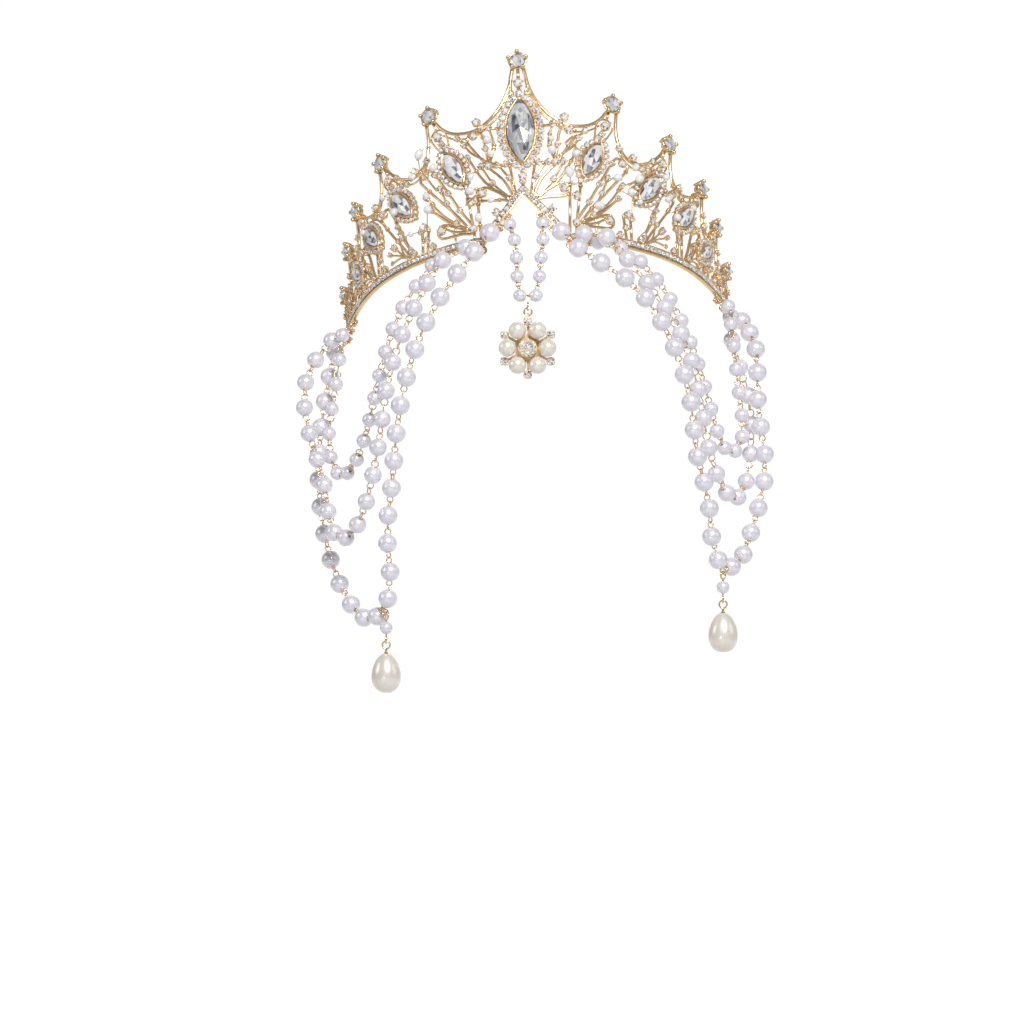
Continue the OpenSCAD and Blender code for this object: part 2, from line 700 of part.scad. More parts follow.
// Downwards, square to the string
function droop(steps) = let (t = way(steps)) unit([0, 0, -1] + t.z * t);
function hook_centre(steps) =
    steps[hook_after] + droop(steps) * (hook_r - link_wire - thread_r - 2 * link_gap);
function hook_low(steps) = hook_centre(steps) + droop(steps) * hook_r;
// Turn about Z that sets the pin's upper loop square to the ring's wire
function pin_turn(steps) = let (w = cross(way(steps), droop(steps))) atan2(w.y, w.x) - 90;
function pin_top(steps) = hook_low(steps) - [0, 0, link_hang];
bead_reach = link_mean + link_wire + bead_play + drop_bead_d / 2;
function bead_at(steps) = pin_top(steps) - [0, 0, bead_reach];
function pin_foot(steps) = bead_at(steps) - [0, 0, bead_reach];
function drop_pivot(steps) = pin_foot(steps) - [0, 0, link_mean];
function drop_eye(steps) = drop_pivot(steps) - [0, 0, link_hang];

module hook_ring(steps) {
    color(gold) translate(hook_centre(steps)) aim(way(steps))
        rotate_extrude($fn = 32) translate([hook_r, 0]) circle(r = link_wire, $fn = 16);
}

module drop_pin(steps) {
    top = pin_top(steps);
    foot_at = pin_foot(steps);
    color(gold) {
        translate(top) rotate(pin_turn(steps)) link_facing_front();
        translate(foot_at) link_facing_side();
        translate(foot_at + [0, 0, link_mean])
            cylinder(r = link_wire, h = top.z - foot_at.z - 2 * link_mean, $fn = 16);
    }
}

module drop_bead(steps) {
    color(strand_white) translate(bead_at(steps)) difference() {
        sphere(d = drop_bead_d, $fn = 48);
        cylinder(r = bore_r, h = drop_bead_d + 1, center = true, $fn = 24);
    }
}

// The drop's outline from its full foot up to its narrow shoulder. Columns: radius, height.
// Its fullness, roundness, and how much and how late it narrows:
belly = 0.548;
roundness = 0.85;
narrowing = [0.3, 1.6];
drop_outline = [for (a = [10:10:160])
    let (rise = (1 - cos(a)) / 2)
    [drop_d * belly * pow(sin(a), roundness) * (1 - narrowing[0] * pow(rise, narrowing[1])),
     drop_len * rise]];
drop_shoulder = 1.2;
// The peg's cup lies this far under the middle of its eye, and its shank reaches into the drop
cup_drop = link_mean + link_wire + 1;
cup_h = 0.4;
cup_r = 1.1;
shank_r = 0.45;
shank_deep = 3;
shank_play = 0.5;

module drop_pearl(steps) {
    color(cream) translate(drop_eye(steps) - [0, 0, cup_drop + stone_gap + drop_len])
        difference() {
            rotate_extrude($fn = 48) polygon(concat([[0, 0]], drop_outline,
                [[drop_shoulder, drop_len], [0, drop_len]]));
            translate([0, 0, drop_len - shank_deep - shank_play])
                cylinder(r = bore_r, h = shank_deep + 1, $fn = 24);
        }
}

module drop_peg(steps) {
    color(gold) translate(drop_eye(steps)) {
        link_facing_front();
        translate([0, 0, -cup_drop - shank_deep])
            cylinder(r = shank_r, h = cup_drop + shank_deep - link_mean, $fn = 24);
        translate([0, 0, -cup_drop]) cylinder(r1 = cup_r, r2 = shank_r, h = cup_h, $fn = 32);
    }
}

tiara_frame();
accent_stones();
for (i = [0:10]) tip_stone(i);
for (i = [0:8]) marquise(i);
pearls(left_walks[0], outer_d);  // left_outer_pearls
string_thread(-1, 0, left_walks[0]);  // left_outer_thread
pearls(left_walks[1], middle_d);  // left_middle_pearls
string_thread(-1, 1, left_walks[1]);  // left_middle_thread
pearls(left_walks[2], inner_d);  // left_inner_pearls
string_thread(-1, 2, left_walks[2]);  // left_inner_thread
pearls(right_walks[0], outer_d);  // right_outer_pearls
string_thread(1, 0, right_walks[0]);  // right_outer_thread
pearls(right_walks[1], middle_d);  // right_middle_pearls
string_thread(1, 1, right_walks[1]);  // right_middle_thread
pearls(right_walks[2], inner_d);  // right_inner_pearls
string_thread(1, 2, right_walks[2]);  // right_inner_thread
brow_pearls();
brow_thread();
brow_link();
pendant_ring();
pendant_setting();
pendant_stones();
for (i = [0:5]) pendant_pearl(i);
hook_ring(left_walks[0]);  // left_hook_ring
drop_pin(left_walks[0]);  // left_drop_pin
drop_bead(left_walks[0]);  // left_drop_bead
drop_peg(left_walks[0]);  // left_drop_peg
drop_pearl(left_walks[0]);  // left_drop_pearl
hook_ring(right_walks[0]);  // right_hook_ring
drop_pin(right_walks[0]);  // right_drop_pin
drop_bead(right_walks[0]);  // right_drop_bead
drop_peg(right_walks[0]);  // right_drop_peg
drop_pearl(right_walks[0]);  // right_drop_pearl
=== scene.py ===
import math
import bpy
import bmesh
import numpy as np
from mathutils import Matrix, Vector


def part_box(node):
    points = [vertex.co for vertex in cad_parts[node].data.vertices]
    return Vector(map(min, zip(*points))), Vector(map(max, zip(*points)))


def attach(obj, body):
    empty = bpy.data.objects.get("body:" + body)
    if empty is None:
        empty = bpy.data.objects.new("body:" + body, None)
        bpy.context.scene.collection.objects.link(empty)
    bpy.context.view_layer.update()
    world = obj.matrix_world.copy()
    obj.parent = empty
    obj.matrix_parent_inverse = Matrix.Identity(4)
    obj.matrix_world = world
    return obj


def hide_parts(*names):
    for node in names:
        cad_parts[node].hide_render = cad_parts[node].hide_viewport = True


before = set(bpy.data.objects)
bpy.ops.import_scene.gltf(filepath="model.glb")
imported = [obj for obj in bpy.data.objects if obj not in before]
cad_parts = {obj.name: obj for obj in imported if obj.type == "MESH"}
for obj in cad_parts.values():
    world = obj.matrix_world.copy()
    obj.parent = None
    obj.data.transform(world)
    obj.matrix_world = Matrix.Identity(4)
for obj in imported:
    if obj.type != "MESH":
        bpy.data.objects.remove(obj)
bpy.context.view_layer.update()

MM = 0.001

# Camera.
camera_data = bpy.data.cameras.new("camera")
camera_data.sensor_width = 36.0
camera_data.lens = 114.26
camera_data.clip_end = 20.0
camera = bpy.data.objects.new("camera", camera_data)
camera.location = (0.0534, -1.2989, -0.0756)
camera.rotation_euler = (math.radians(90), 0, math.radians(2.797))
bpy.context.scene.collection.objects.link(camera)
bpy.context.scene.camera = camera

# Places on the wall.
# The same sizes as the CAD source, in millimetres.
FRONT_R, SIDE_R, FRONT_ANGLE = 72.0, 125.0, math.radians(62)
FLARE, LEAN, CANT = math.radians(4.5), math.radians(22.6), math.radians(3.4)
SIDE_START = FRONT_R * FRONT_ANGLE
BAND_HALF, BAND_H, BAND_T = 118.0, 3.0, 1.3
BAR_FOOT, APEX_H, BAR_W = 16.8, 21.0, 2.6
WIRE_R, TIP_D, STONE_SEAT, STONE_GAP = 0.72, 6.2, 0.9, 0.15
BEZEL_W, PLATE_BACK, POINT_GROW = 0.9, 0.5, 1.12
POSE = Matrix.Rotation(-CANT, 4, "Y") @ Matrix.Rotation(-LEAN, 4, "X")

# Tips: along the band, height. Dips: lowest height of the wire after each tip.
TIPS = [(0, 74.7), (34.3, 58.1), (59.6, 48.3), (81, 38.1), (95.5, 27.9), (109.4, 15.4)]
DIPS = [47.7, 35.7, 30.3, 21.3, 9.8]
# Fall of the wire between two tips: share of the way, share of the height.
FRONT_FALL = [(0, 1), (0.055, 0.68), (0.15, 0.4), (0.29, 0.17), (0.5, 0.01), (0.74, 0.06),
              (0.9, 0.46), (1, 1)]
SIDE_FALL = [(0, 1), (-0.01, 0.6), (0.06, 0.26), (0.22, 0.05), (0.42, 0), (0.68, 0.24),
             (0.86, 0.6), (1, 1)]
FOOT = (1.9, 3.0)
# Pointed stones: along, height, length, width, lean outwards in degrees, width of the halo.
CENTRE_MARQUISE = (0, 45, 26.4, 10.6, 0, 3.3)
SIDE_MARQUISES = [(26, 33.6, 15.5, 6.4, 27, 2.4), (50, 26.2, 15, 6.2, 38, 2.4),
                  (69.5, 20.8, 13.5, 5.6, 40, 2.4), (85.5, 12.6, 10.5, 4.6, 48, 2.4)]
# Loops: base along, base height, tip along, tip height, width, stone diameter.
PETALS = [(4.4, 17.2, 17.2, 21.6, 5.4, 3.6), (12.4, 31.6, 18.2, 47, 6, 3.2),
          (20.4, 7.6, 39.2, 35.6, 6.2, 3.2), (20.6, 6.2, 34.6, 9.6, 5.4, 3.4),
          (46.6, 2, 61.4, 28, 6, 3.2), (70.8, 2, 79.4, 20.4, 5.2, 3), (92, 2, 100, 8.8, 4.4, 2.8)]
# Wires: start along, start height, end along, end height, bow to the left.
RAYS = [(2.8, 18.4, 4.6, 31, 0), (3.6, 17.6, 12, 30.8, 1.2), (4.6, 16.4, 20.6, 37.4, -2),
        (3, 31.6, 12, 31.8, 0), (17, 1.8, 17.6, 23.4, 0), (19.6, 1.8, 19.6, 6, 0),
        (19.9, 8, 21.8, 24.2, 0), (21, 7, 37, 19.6, -1.2), (40.2, 1.8, 38.8, 12.4, 0),
        (42.4, 1.8, 41.8, 12.6, 0), (44.2, 1.8, 53.8, 18, -1), (66, 1.8, 65.6, 14, 0),
        (68.6, 1.8, 68.2, 14.8, 0), (85.8, 1.8, 85, 8.8, 0), (89.4, 1.8, 92.2, 19.4, 0.8),
        (103.2, 1.8, 103.5, 10.1, 0), (108.4, 1.8, 108, 12.9, 0), (7.6, 47.2, 15, 48.2, 0)]
# Round stones: along, height, diameter.
SIDE_ACCENTS = [(16, 50.6, 3.4), (42.6, 37.4, 3.2), (65.6, 32, 3), (83.6, 23, 3), (12.4, 31.8, 3),
                (19.8, 18, 3.4), (19.6, 6.9, 3.2), (40.3, 13, 3.4)]
CENTRE_ACCENTS = [(0, 65.2, 4), (0, 26, 3.2)]
# Keyholes: along, height, radius of the disc, stone diameter.
KEYHOLES = [(31.4, 48.4, 3.1, 3.8), (56.2, 39, 3, 3.6), (77.2, 31.5, 2.7, 3.2),
            (91.8, 21.7, 2.4, 3)]
# Eyes of the strings: along, height.
RUNS = ("outer", "middle", "inner")
STARTS = {-1: [(9.5, 5.9), (16.6, -2.3), (32, -2.3)], 1: [(10.5, 4.7), (17, -2.3), (22, -2.3)]}
ENDS = [(114, -2.3), (106, -2.3), (98.4, -2.3)]
BROW_START = (6.2, 9.9)
# Small stones in cups of their own, on both sides: along, height, diameter. The ones below
# STONES_ON_BAND stand on the band, and the others move to the nearest wire of the frame.
STONES_ON_BAND = 4.5
SMALL_STONES = [(3, 31.2, 2.3), (6.1, 31.2, 2.3), (9.2, 32.6, 2.3), (15.6, 33, 2.3), (11.4, 47.6, 2.2),
                (14, 47.9, 2.2), (24, 45.5, 2.3), (10.7, 12.5, 2.8), (28, 43.6, 2), (27, 25.2, 2.2),
                (50, 41, 2.2), (49.2, 35.2, 2.2), (47, 33.6, 2.2), (36.8, 4.2, 2.3), (46, 4.2, 2.3),
                (62.8, 4.3, 2.3), (72, 4.2, 2.3), (65.6, 13.6, 2.3), (34.2, 39.6, 2.3), (80, 4.2, 2),
                (53.8, 18, 2), (37, 19.6, 2), (68.2, 15.4, 2), (96.5, 10, 2), (20.6, 37.4, 2.1)]
# More of them, placed by density.
STRAY_STONES = [(60, 13, 2.4), (56.4, 9.6, 2.2), (64.4, 9, 2.2), (76, 12, 2.2), (78.4, 16.2, 2),
                (73.4, 17.4, 2), (88.6, 20.4, 2), (84.6, 5, 2.2), (90.4, 7, 2.2), (97, 13, 2),
                (99.4, 17.4, 2), (103.4, 14.6, 2), (101, 6, 2), (107.6, 8, 2), (38, 25.4, 2.2),
                (33, 27.5, 2.2), (43, 13.5, 2.4), (45.4, 8, 2.2), (40.4, 8, 2.2), (24.4, 16, 2.2),
                (29.4, 20, 2.2), (26, 10.6, 2.2), (5.6, 25.6, 2), (10.4, 25, 2), (13.6, 39, 2.2),
                (21.6, 42.6, 2.2), (35, 33, 2.2), (52, 12.6, 2.2), (47.6, 16.4, 2.2), (66.6, 26, 2.2),
                (61.6, 27, 2.2), (80.6, 26.6, 2), (94.6, 24.4, 1.9), (112.6, 7, 1.9)]
# Fine wires: start along, start height, end along, end height, bow to the left.
FINE_WIRES = [(3.3, 18.2, 8.2, 30.9, 1.2), (4.2, 17, 15.6, 32.6, -1.2), (21.4, 7.6, 32.6, 27.4, -1.4),
              (21.8, 7.2, 38.6, 25.4, -1.6), (22, 6.4, 33.4, 11.4, -1),
              (11.6, 34, 11.4, 47, 1.4), (13.6, 34.6, 22.6, 44.6, -1.2), (9.2, 10.2, 10.7, 12.5, 0),
              (2.2, 59.6, 3.6, 64, 0.6), (28.4, 43, 30.8, 45.6, 0.3)]
# Fans of fine wires: foot along, foot height, length, first and last angle, number.
FANS = [(48.8, 3, 12.5, 12, 62, 4), (72.6, 3, 10.6, 14, 72, 4), (93, 2.6, 8.4, 20, 84, 3),
        (27.4, 4, 8.6, 60, 100, 2)]
# Milky beads on the fine wires: along, height.
BEADS = [(43, 33), (41, 22), (45, 19), (44.5, 28.5), (57, 33), (58, 24), (17, 27), (19, 23), (19.6, 35),
         (35.5, 27), (11, 41), (11, 36), (-43, 35), (-37.5, 25), (-37, 19), (-59, 33), (-53, 24),
         (-33.6, 35.6), (-19, 28), (-19.5, 22), (-12, 17), (-17, 10.5), (-12, 42), (-11, 36), (-39, 43),
         (73, 26), (-74, 25), (28, 14), (-46, 12), (63, 18)]
# Thin gold tubes between them: start along, start height, end along, end height.
TUBES = [(40, 25, 51.5, 34), (40.8, 23.8, 52.3, 32.8), (16, 39.5, 20, 43.6), (-38.5, 35, -33, 26),
         (-14, 34, -9, 31.5), (-21.5, 17, -17, 20.5), (58, 27, 64, 31), (-60, 22, -66, 28)]


def heading(s):
    a = abs(s)
    turn = a / FRONT_R if a <= SIDE_START else FRONT_ANGLE + (a - SIDE_START) / SIDE_R
    return math.copysign(turn, s)


def wall(s, h, d=0.0):
    """A point of the wall before the crown is tilted: s along the band, h up, d outwards."""
    a = abs(heading(s))
    if abs(s) <= SIDE_START:
        x, y = FRONT_R * math.sin(a), -FRONT_R * math.cos(a)
    else:
        x = FRONT_R * math.sin(FRONT_ANGLE) + SIDE_R * (math.sin(a) - math.sin(FRONT_ANGLE))
        y = -FRONT_R * math.cos(FRONT_ANGLE) + SIDE_R * (math.cos(FRONT_ANGLE) - math.cos(a))
    out = h * math.sin(FLARE) + d * math.cos(FLARE)
    x = math.copysign(x, s) + out * math.sin(heading(s))
    return Vector((x, y - out * math.cos(heading(s)), h * math.cos(FLARE) - d * math.sin(FLARE)))


def spot(s, h, d=0.0):
    return POSE @ wall(s, h, d)


def seat(s, h, d=0.0, turn=0.0):
    """A frame on the wall: x along the band, y up, z outwards, in degrees of turn about z."""
    return (POSE @ Matrix.Translation(wall(s, h, d)) @ Matrix.Rotation(heading(s), 4, "Z")
            @ Matrix.Rotation(math.radians(90) + FLARE, 4, "X")
            @ Matrix.Rotation(-math.radians(turn), 4, "Z"))


# Shapes.
class Shape:
    """Points and faces of one piece, in millimetres."""

    def __init__(self):
        self.points, self.faces, self.smooth, self.slots = [], [], [], []

    def add(self, points, faces, at=None, smooth=True):
        base = len(self.points)
        self.points += [tuple(at @ Vector(p)) for p in points] if at else [tuple(p) for p in points]
        self.faces += [tuple(base + i for i in f) for f in faces]
        self.smooth += [smooth] * len(faces)
        self.slots += [0] * len(faces)


def spline(rows, n, closed=False):
    """A smooth curve through rows, n steps from each to the next."""
    rows = [Vector(r) for r in rows]
    m = len(rows)
    spans = m if closed else m - 1
    out = []
    for i in range(spans):
        if closed:
            a, b, c, d = (rows[(i + k) % m] for k in (-1, 0, 1, 2))
        else:
            b, c = rows[i], rows[i + 1]
            a = rows[i - 1] if i else 2 * b - c
            d = rows[i + 2] if i + 2 < m else 2 * c - b
        for k in range(n):
            t = k / n
            out.append(0.5 * (2 * b + (c - a) * t + (2 * a - 5 * b + 4 * c - d) * t * t
                              + (3 * b - a - 3 * c + d) * t ** 3))
    return out if closed else out + [rows[-1]]


def tube(shape, path, radius, sides=8, closed=False, flat=1.0, up=None):
    """A round wire along a path. flat squeezes it along up."""
    path = [Vector(p) for p in path]
    m = len(path)
    size = radius if hasattr(radius, "__len__") else [radius] * m
    along = []
    for i in range(m):
        a = path[i - 1] if i or closed else path[0]
        b = path[(i + 1) % m] if i + 1 < m or closed else path[-1]
        along.append((b - a).normalized())
    normal = up if up is not None else along[0].orthogonal()
    points = []
    for i in range(m):
        normal = (up[i] if isinstance(up, list) else up) if up is not None else normal
        normal = (normal - normal.dot(along[i]) * along[i]).normalized()
        side = along[i].cross(normal)
        for k in range(sides):
            a = 2 * math.pi * k / sides
            points.append(path[i] + size[i] * (math.cos(a) * side + flat * math.sin(a) * normal))
    faces = []
    for i in range(m if closed else m - 1):
        for k in range(sides):
            j, l = (i + 1) % m, (k + 1) % sides
            faces.append((i * sides + k, i * sides + l, j * sides + l, j * sides + k))
    if not closed:
        faces.append(tuple(range(sides)))
        faces.append(tuple(range(m * sides - 1, (m - 1) * sides - 1, -1)))
    shape.add(points, faces)


def around(r, share):
    """The point of a circle of radius r at a share of the way round."""
    return r * math.cos(2 * math.pi * share), r * math.sin(2 * math.pi * share)


def lathe(shape, profile, at=None, steps=24, closed=False):
    """A profile of (radius, height) turned about z. Ends on the axis close in a point."""
    points, rings = [], []
    for r, z in profile:
        if r < 1e-6:
            rings.append([len(points)])
            points.append((0, 0, z))
        else:
            rings.append(list(range(len(points), len(points) + steps)))
            points += [(*around(r, k / steps), z) for k in range(steps)]
    faces = []
    pairs = list(zip(rings, rings[1:])) + ([(rings[-1], rings[0])] if closed else [])
    for a, b in pairs:
        for k in range(steps):
            l = (k + 1) % steps
            if len(a) == 1 and len(b) > 1:
                faces.append((a[0], b[l], b[k]))
            elif len(b) == 1 and len(a) > 1:
                faces.append((a[k], a[l], b[0]))
            elif len(a) > 1:
                faces.append((a[k], a[l], b[l], b[k]))
    if not closed:
        for ring, order in ((rings[0], -1), (rings[-1], 1)):
            if len(ring) > 1:
                faces.append(tuple(ring[::order]))
    shape.add(points, faces, at=at)


def ball(shape, centre, r, steps=10, rings=6, at=None):
    place = (at or Matrix.Identity(4)) @ Matrix.Translation(Vector(centre))
    lathe(shape, [(r * math.sin(math.pi * k / rings), -r * math.cos(math.pi * k / rings))
                  for k in range(rings + 1)], at=place, steps=steps)


def aimed(centre, axis):
    """A frame at centre whose z runs along axis."""
    return Matrix.Translation(Vector(centre)) @ Vector(axis).to_track_quat("Z", "Y").to_matrix().to_4x4()


def torus(shape, at, ring_r, wire, steps=20, sides=8):
    path = [at @ Vector((*around(ring_r, k / steps), 0)) for k in range(steps)]
    axis = (at.to_3x3() @ Vector((0, 0, 1))).normalized()
    tube(shape, path, wire, sides=sides, closed=True, up=axis)


def swept(shape, section, rows, place):
    """A closed section carried along rows. place gives the point for a row and a section point."""
    n, m = len(section), len(rows)
    faces = [(i * n + k, i * n + (k + 1) % n, (i + 1) * n + (k + 1) % n, (i + 1) * n + k)
             for i in range(m - 1) for k in range(n)]
    faces += [tuple(range(n)), tuple(range((m - 1) * n, m * n))]
    shape.add([place(row, q) for row in rows for q in section], faces, smooth=False)


def prism(shape, outline, low, high, at, bevel=0.0):
    """A flat outline with thickness and, if bevel, a chamfered upper edge."""
    n = len(outline)
    centre = Vector((sum(p[0] for p in outline) / n, sum(p[1] for p in outline) / n))
    levels = [(low, 0.0), (high - bevel, 0.0)] + ([(high, bevel)] if bevel else [])
    points = []
    for z, inset in levels:
        for p in outline:
            q = Vector(p)
            toward = centre - q
            q = q + toward.normalized() * inset if toward.length > inset else q
            points.append((q.x, q.y, z))
    faces = [tuple(range(n - 1, -1, -1)), tuple(range(len(points) - n, len(points)))]
    for i in range(len(levels) - 1):
        faces += [(i * n + k, i * n + (k + 1) % n, (i + 1) * n + (k + 1) % n, (i + 1) * n + k)
                  for k in range(n)]
    shape.add(points, faces, at=at, smooth=False)


# Facets round the table, four to each eighth of a stone, painted dark as a reflection of the dark room.
SHADED = (2, 5, 7, 8, 13, 16, 19, 22, 26, 28, 31)


def gem(shape, outline, at, crown, pavilion, table=0.56, middle=0.78, low=(0.26, 0.26),
        girdle=0.12, keel=0.0):
    """A cut stone over a 16-point girdle at z = 0: table, star, kite and girdle facets above,
    mains and halves below. The facets below take the second material, the foil, and some above
    the third, a painted shade for the dark room they reflect. A keel raises the middle of the table and
    parts it in eight."""
    g = [Vector((p[0], p[1], 0)) for p in outline]
    top = [Vector((g[2 * k + 1].x * table, g[2 * k + 1].y * table, crown)) for k in range(8)]
    mid = [Vector((g[2 * k].x * middle, g[2 * k].y * middle,
                   crown * (1 - middle * 0.924) / (1 - table))) for k in range(8)]
    lower = [Vector((g[2 * k + 1].x * low[0], g[2 * k + 1].y * low[1],
                     -girdle - pavilion * (1 - 0.9 * low[0]))) for k in range(8)]
    under = [Vector((p.x, p.y, -girdle)) for p in g]
    culet = Vector((0, 0, -girdle - pavilion))
    points = top + mid + g + under + lower + [culet]
    T, M, G, U, L, C = 0, 8, 16, 32, 48, 56
    faces = [tuple(range(8))]
    for k in range(8):
        n, b = (k + 1) % 8, (k - 1) % 8
        faces += [(T + b, M + k, T + k), (T + k, M + k, G + 2 * k + 1, M + n),
                  (M + k, G + 2 * k, G + 2 * k + 1), (M + n, G + 2 * k + 1, G + (2 * k + 2) % 16)]
    for j in range(16):
        faces.append((G + j, U + j, U + (j + 1) % 16, G + (j + 1) % 16))
    cut = len(faces)
    for k in range(8):
        b = (k - 1) % 8
        faces += [(C, L + k, U + 2 * k, L + b), (L + k, U + 2 * k + 1, U + 2 * k),
                  (L + k, U + (2 * k + 2) % 16, U + 2 * k + 1)]
    base, below = len(shape.slots), len(faces)
    if keel:
        points.append(Vector((0, 0, crown + keel)))
        faces += [(T + k, T + (k + 1) % 8, C + 1) for k in range(1, 8)]
        faces[0] = (T, T + 1, C + 1)
    shape.add(points, faces, at=at, smooth=False)
    for i in range(base + cut, base + below):
        shape.slots[i] = 1
    for k in SHADED:
        shape.slots[base + 1 + (k + 4 * (base % 7)) % 32] = 2
    if keel:
        # Three facets of the keel take the painted shade too.
        for k in (1, 4, 5):
            shape.slots[base + below + k] = 2


def circle16(d):
    return [around(d / 2, j / 16) for j in range(16)]


def pointed(row, grow, steps=8):
    """A pointed oval: two arcs that meet above and below, with 2 * steps points."""
    half, w = row[2] / 2 + grow * POINT_GROW, row[3] / 2 + grow
    r = (half * half + w * w) / (2 * w)
    arc = math.asin(half / r)
    out = []
    for k in range(2 * steps):
        right = k < steps
        a = arc * (1 - 2 * k / steps if right else 2 * k / steps - 3)
        out.append(((1 if right else -1) * (r * math.cos(a) - r + w), r * math.sin(a)))
    return out


def round_stone(shape, at, d):
    gem(shape, circle16(d), at @ Matrix.Translation((0, 0, STONE_SEAT + STONE_GAP + 0.1 * d)),
        0.2 * d, 0.34 * d)


def claws(shape, at, d, count, reach, bead, low, high):
    """Claws round a stone: each stands up beside it and ends in a bead over its edge."""
    for k in range(count):
        a = 2 * math.pi * k / count
        u = Vector((math.sin(a), math.cos(a), 0))
        r = d / 2 + reach
        tube(shape, [at @ (u * (r - 0.75 * bead) + Vector((0, 0, low))),
                     at @ (u * r + Vector((0, 0, high * 0.55))),
                     at @ (u * (r - 0.25 * bead) + Vector((0, 0, high)))],
             [bead * 0.6, bead * 0.62, bead * 0.75], sides=6)
        ball(shape, u * (r - 0.35 * bead) + Vector((0, 0, high)), bead, steps=8, rings=6, at=at)


def piece(name, shape, materials, body, nodes=()):
    mesh = bpy.data.meshes.new(name)
    mesh.from_pydata([(x * MM, y * MM, z * MM) for x, y, z in shape.points], [], shape.faces)
    mesh.polygons.foreach_set("use_smooth", shape.smooth)
    mesh.polygons.foreach_set("material_index", shape.slots)
    for m in materials:
        mesh.materials.append(m)
    bm = bmesh.new()
    bm.from_mesh(mesh)
    bmesh.ops.recalc_face_normals(bm, faces=bm.faces)
    bm.to_mesh(mesh)
    bm.free()
    obj = bpy.data.objects.new(name, mesh)
    bpy.context.scene.collection.objects.link(obj)
    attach(obj, body)
    if nodes:
        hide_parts(*nodes)
    return obj


# Materials.
def new_material(name):
    m = bpy.data.materials.new(name)
    m.use_nodes = True
    nodes, links = m.node_tree.nodes, m.node_tree.links
    return m, nodes, links, nodes["Principled BSDF"]


def place_of(nodes):
    """The point of the surface in the object's own space, which is the shared frame."""
    return nodes.new("ShaderNodeTexCoord").outputs["Object"]


def noise(nodes, links, scale, detail=3.0, rough=0.5):
    n = nodes.new("ShaderNodeTexNoise")
    n.inputs["Scale"].default_value = scale
    n.inputs["Detail"].default_value = detail
    n.inputs["Roughness"].default_value = rough
    links.new(place_of(nodes), n.inputs["Vector"])
    return n.outputs["Fac"]


def spread(nodes, links, value, low, high, into, start=0.3, end=0.7):
    r = nodes.new("ShaderNodeMapRange")
    r.inputs["From Min"].default_value = start
    r.inputs["From Max"].default_value = end
    r.inputs["To Min"].default_value = low
    r.inputs["To Max"].default_value = high
    links.new(value, r.inputs["Value"])
    links.new(r.outputs["Result"], into)


def mix(nodes, links, value, a, b, into):
    r = nodes.new("ShaderNodeMix")
    r.data_type = "RGBA"
    r.inputs["A"].default_value = (*a, 1)
    r.inputs["B"].default_value = (*b, 1)
    links.new(value, r.inputs["Factor"])
    links.new(r.outputs["Result"], into)


def bump(nodes, links, value, strength, distance, shader):
    b = nodes.new("ShaderNodeBump")
    b.inputs["Strength"].default_value = strength
    b.inputs["Distance"].default_value = distance
    links.new(value, b.inputs["Height"])
    links.new(b.outputs["Normal"], shader.inputs["Normal"])


def gold_material(name, light, deep, rough):
    m, nodes, links, s = new_material(name)
    s.inputs["Metallic"].default_value = 0.84
    patches = noise(nodes, links, 220, 4)
    grain = noise(nodes, links, 2600, 3, 0.6)
    mix(nodes, links, patches, deep, light, s.inputs["Base Color"])
    spread(nodes, links, grain, rough[0], rough[1], s.inputs["Roughness"])
    bump(nodes, links, grain, 0.12, 0.00008, s)
    return m


def pearl_material(name, light, deep):
    m, nodes, links, s = new_material(name)
    clouds = noise(nodes, links, 130, 2)
    skin = noise(nodes, links, 900, 4, 0.6)
    mix(nodes, links, clouds, deep, light, s.inputs["Base Color"])
    spread(nodes, links, skin, 0.32, 0.38, s.inputs["Roughness"])
    s.inputs["Metallic"].default_value = 0.3
    s.inputs["Subsurface Weight"].default_value = 0.1
    s.inputs["Subsurface Radius"].default_value = (0.0016, 0.0013, 0.0012)
    s.inputs["Subsurface Scale"].default_value = 1.0
    s.inputs["Coat Weight"].default_value = 1.0
    s.inputs["Coat Roughness"].default_value = 0.03
    s.inputs["Coat IOR"].default_value = 1.8
    bump(nodes, links, skin, 0.05, 0.00008, s)
    return m


def stone_material(name, light, deep, metal):
    """Cut glass on a foil, part mirror, part white, with painted reflections in upright splinters of light
    and dark.
    """
    m, nodes, links, s = new_material(name)
    s.inputs["Metallic"].default_value = metal
    s.inputs["IOR"].default_value = 1.6
    s.inputs["Coat Weight"].default_value = 1.0
    s.inputs["Coat Roughness"].default_value = 0.01
    s.inputs["Coat IOR"].default_value = 1.7
    stretch = nodes.new("ShaderNodeMapping")
    stretch.inputs["Scale"].default_value = (1, 1, 0.45)
    painted_glints = nodes.new("ShaderNodeTexVoronoi")
    painted_glints.inputs["Scale"].default_value = 900
    one = nodes.new("ShaderNodeSeparateColor")
    links.new(place_of(nodes), stretch.inputs["Vector"])
    links.new(stretch.outputs["Vector"], painted_glints.inputs["Vector"])
    links.new(painted_glints.outputs["Color"], one.inputs["Color"])
    # Painted reflection: the light and dark cells of the base colour stand for what the facets mirror.
    mix(nodes, links, one.outputs["Red"], deep, light, s.inputs["Base Color"])
    spread(nodes, links, noise(nodes, links, 1400), 0.02, 0.10, s.inputs["Roughness"])
    return m


def opal_material():
    m, nodes, links, s = new_material("opal")
    clouds = noise(nodes, links, 500, 3)
    mix(nodes, links, clouds, (0.88, 0.90, 0.94), (0.99, 0.97, 0.96), s.inputs["Base Color"])
    spread(nodes, links, clouds, 0.08, 0.16, s.inputs["Roughness"])
    s.inputs["Subsurface Weight"].default_value = 0.4
    s.inputs["Subsurface Radius"].default_value = (0.002, 0.002, 0.0024)
    s.inputs["Subsurface Scale"].default_value = 1.0
    s.inputs["Transmission Weight"].default_value = 0.1
    s.inputs["Coat Weight"].default_value = 0.5
    return m


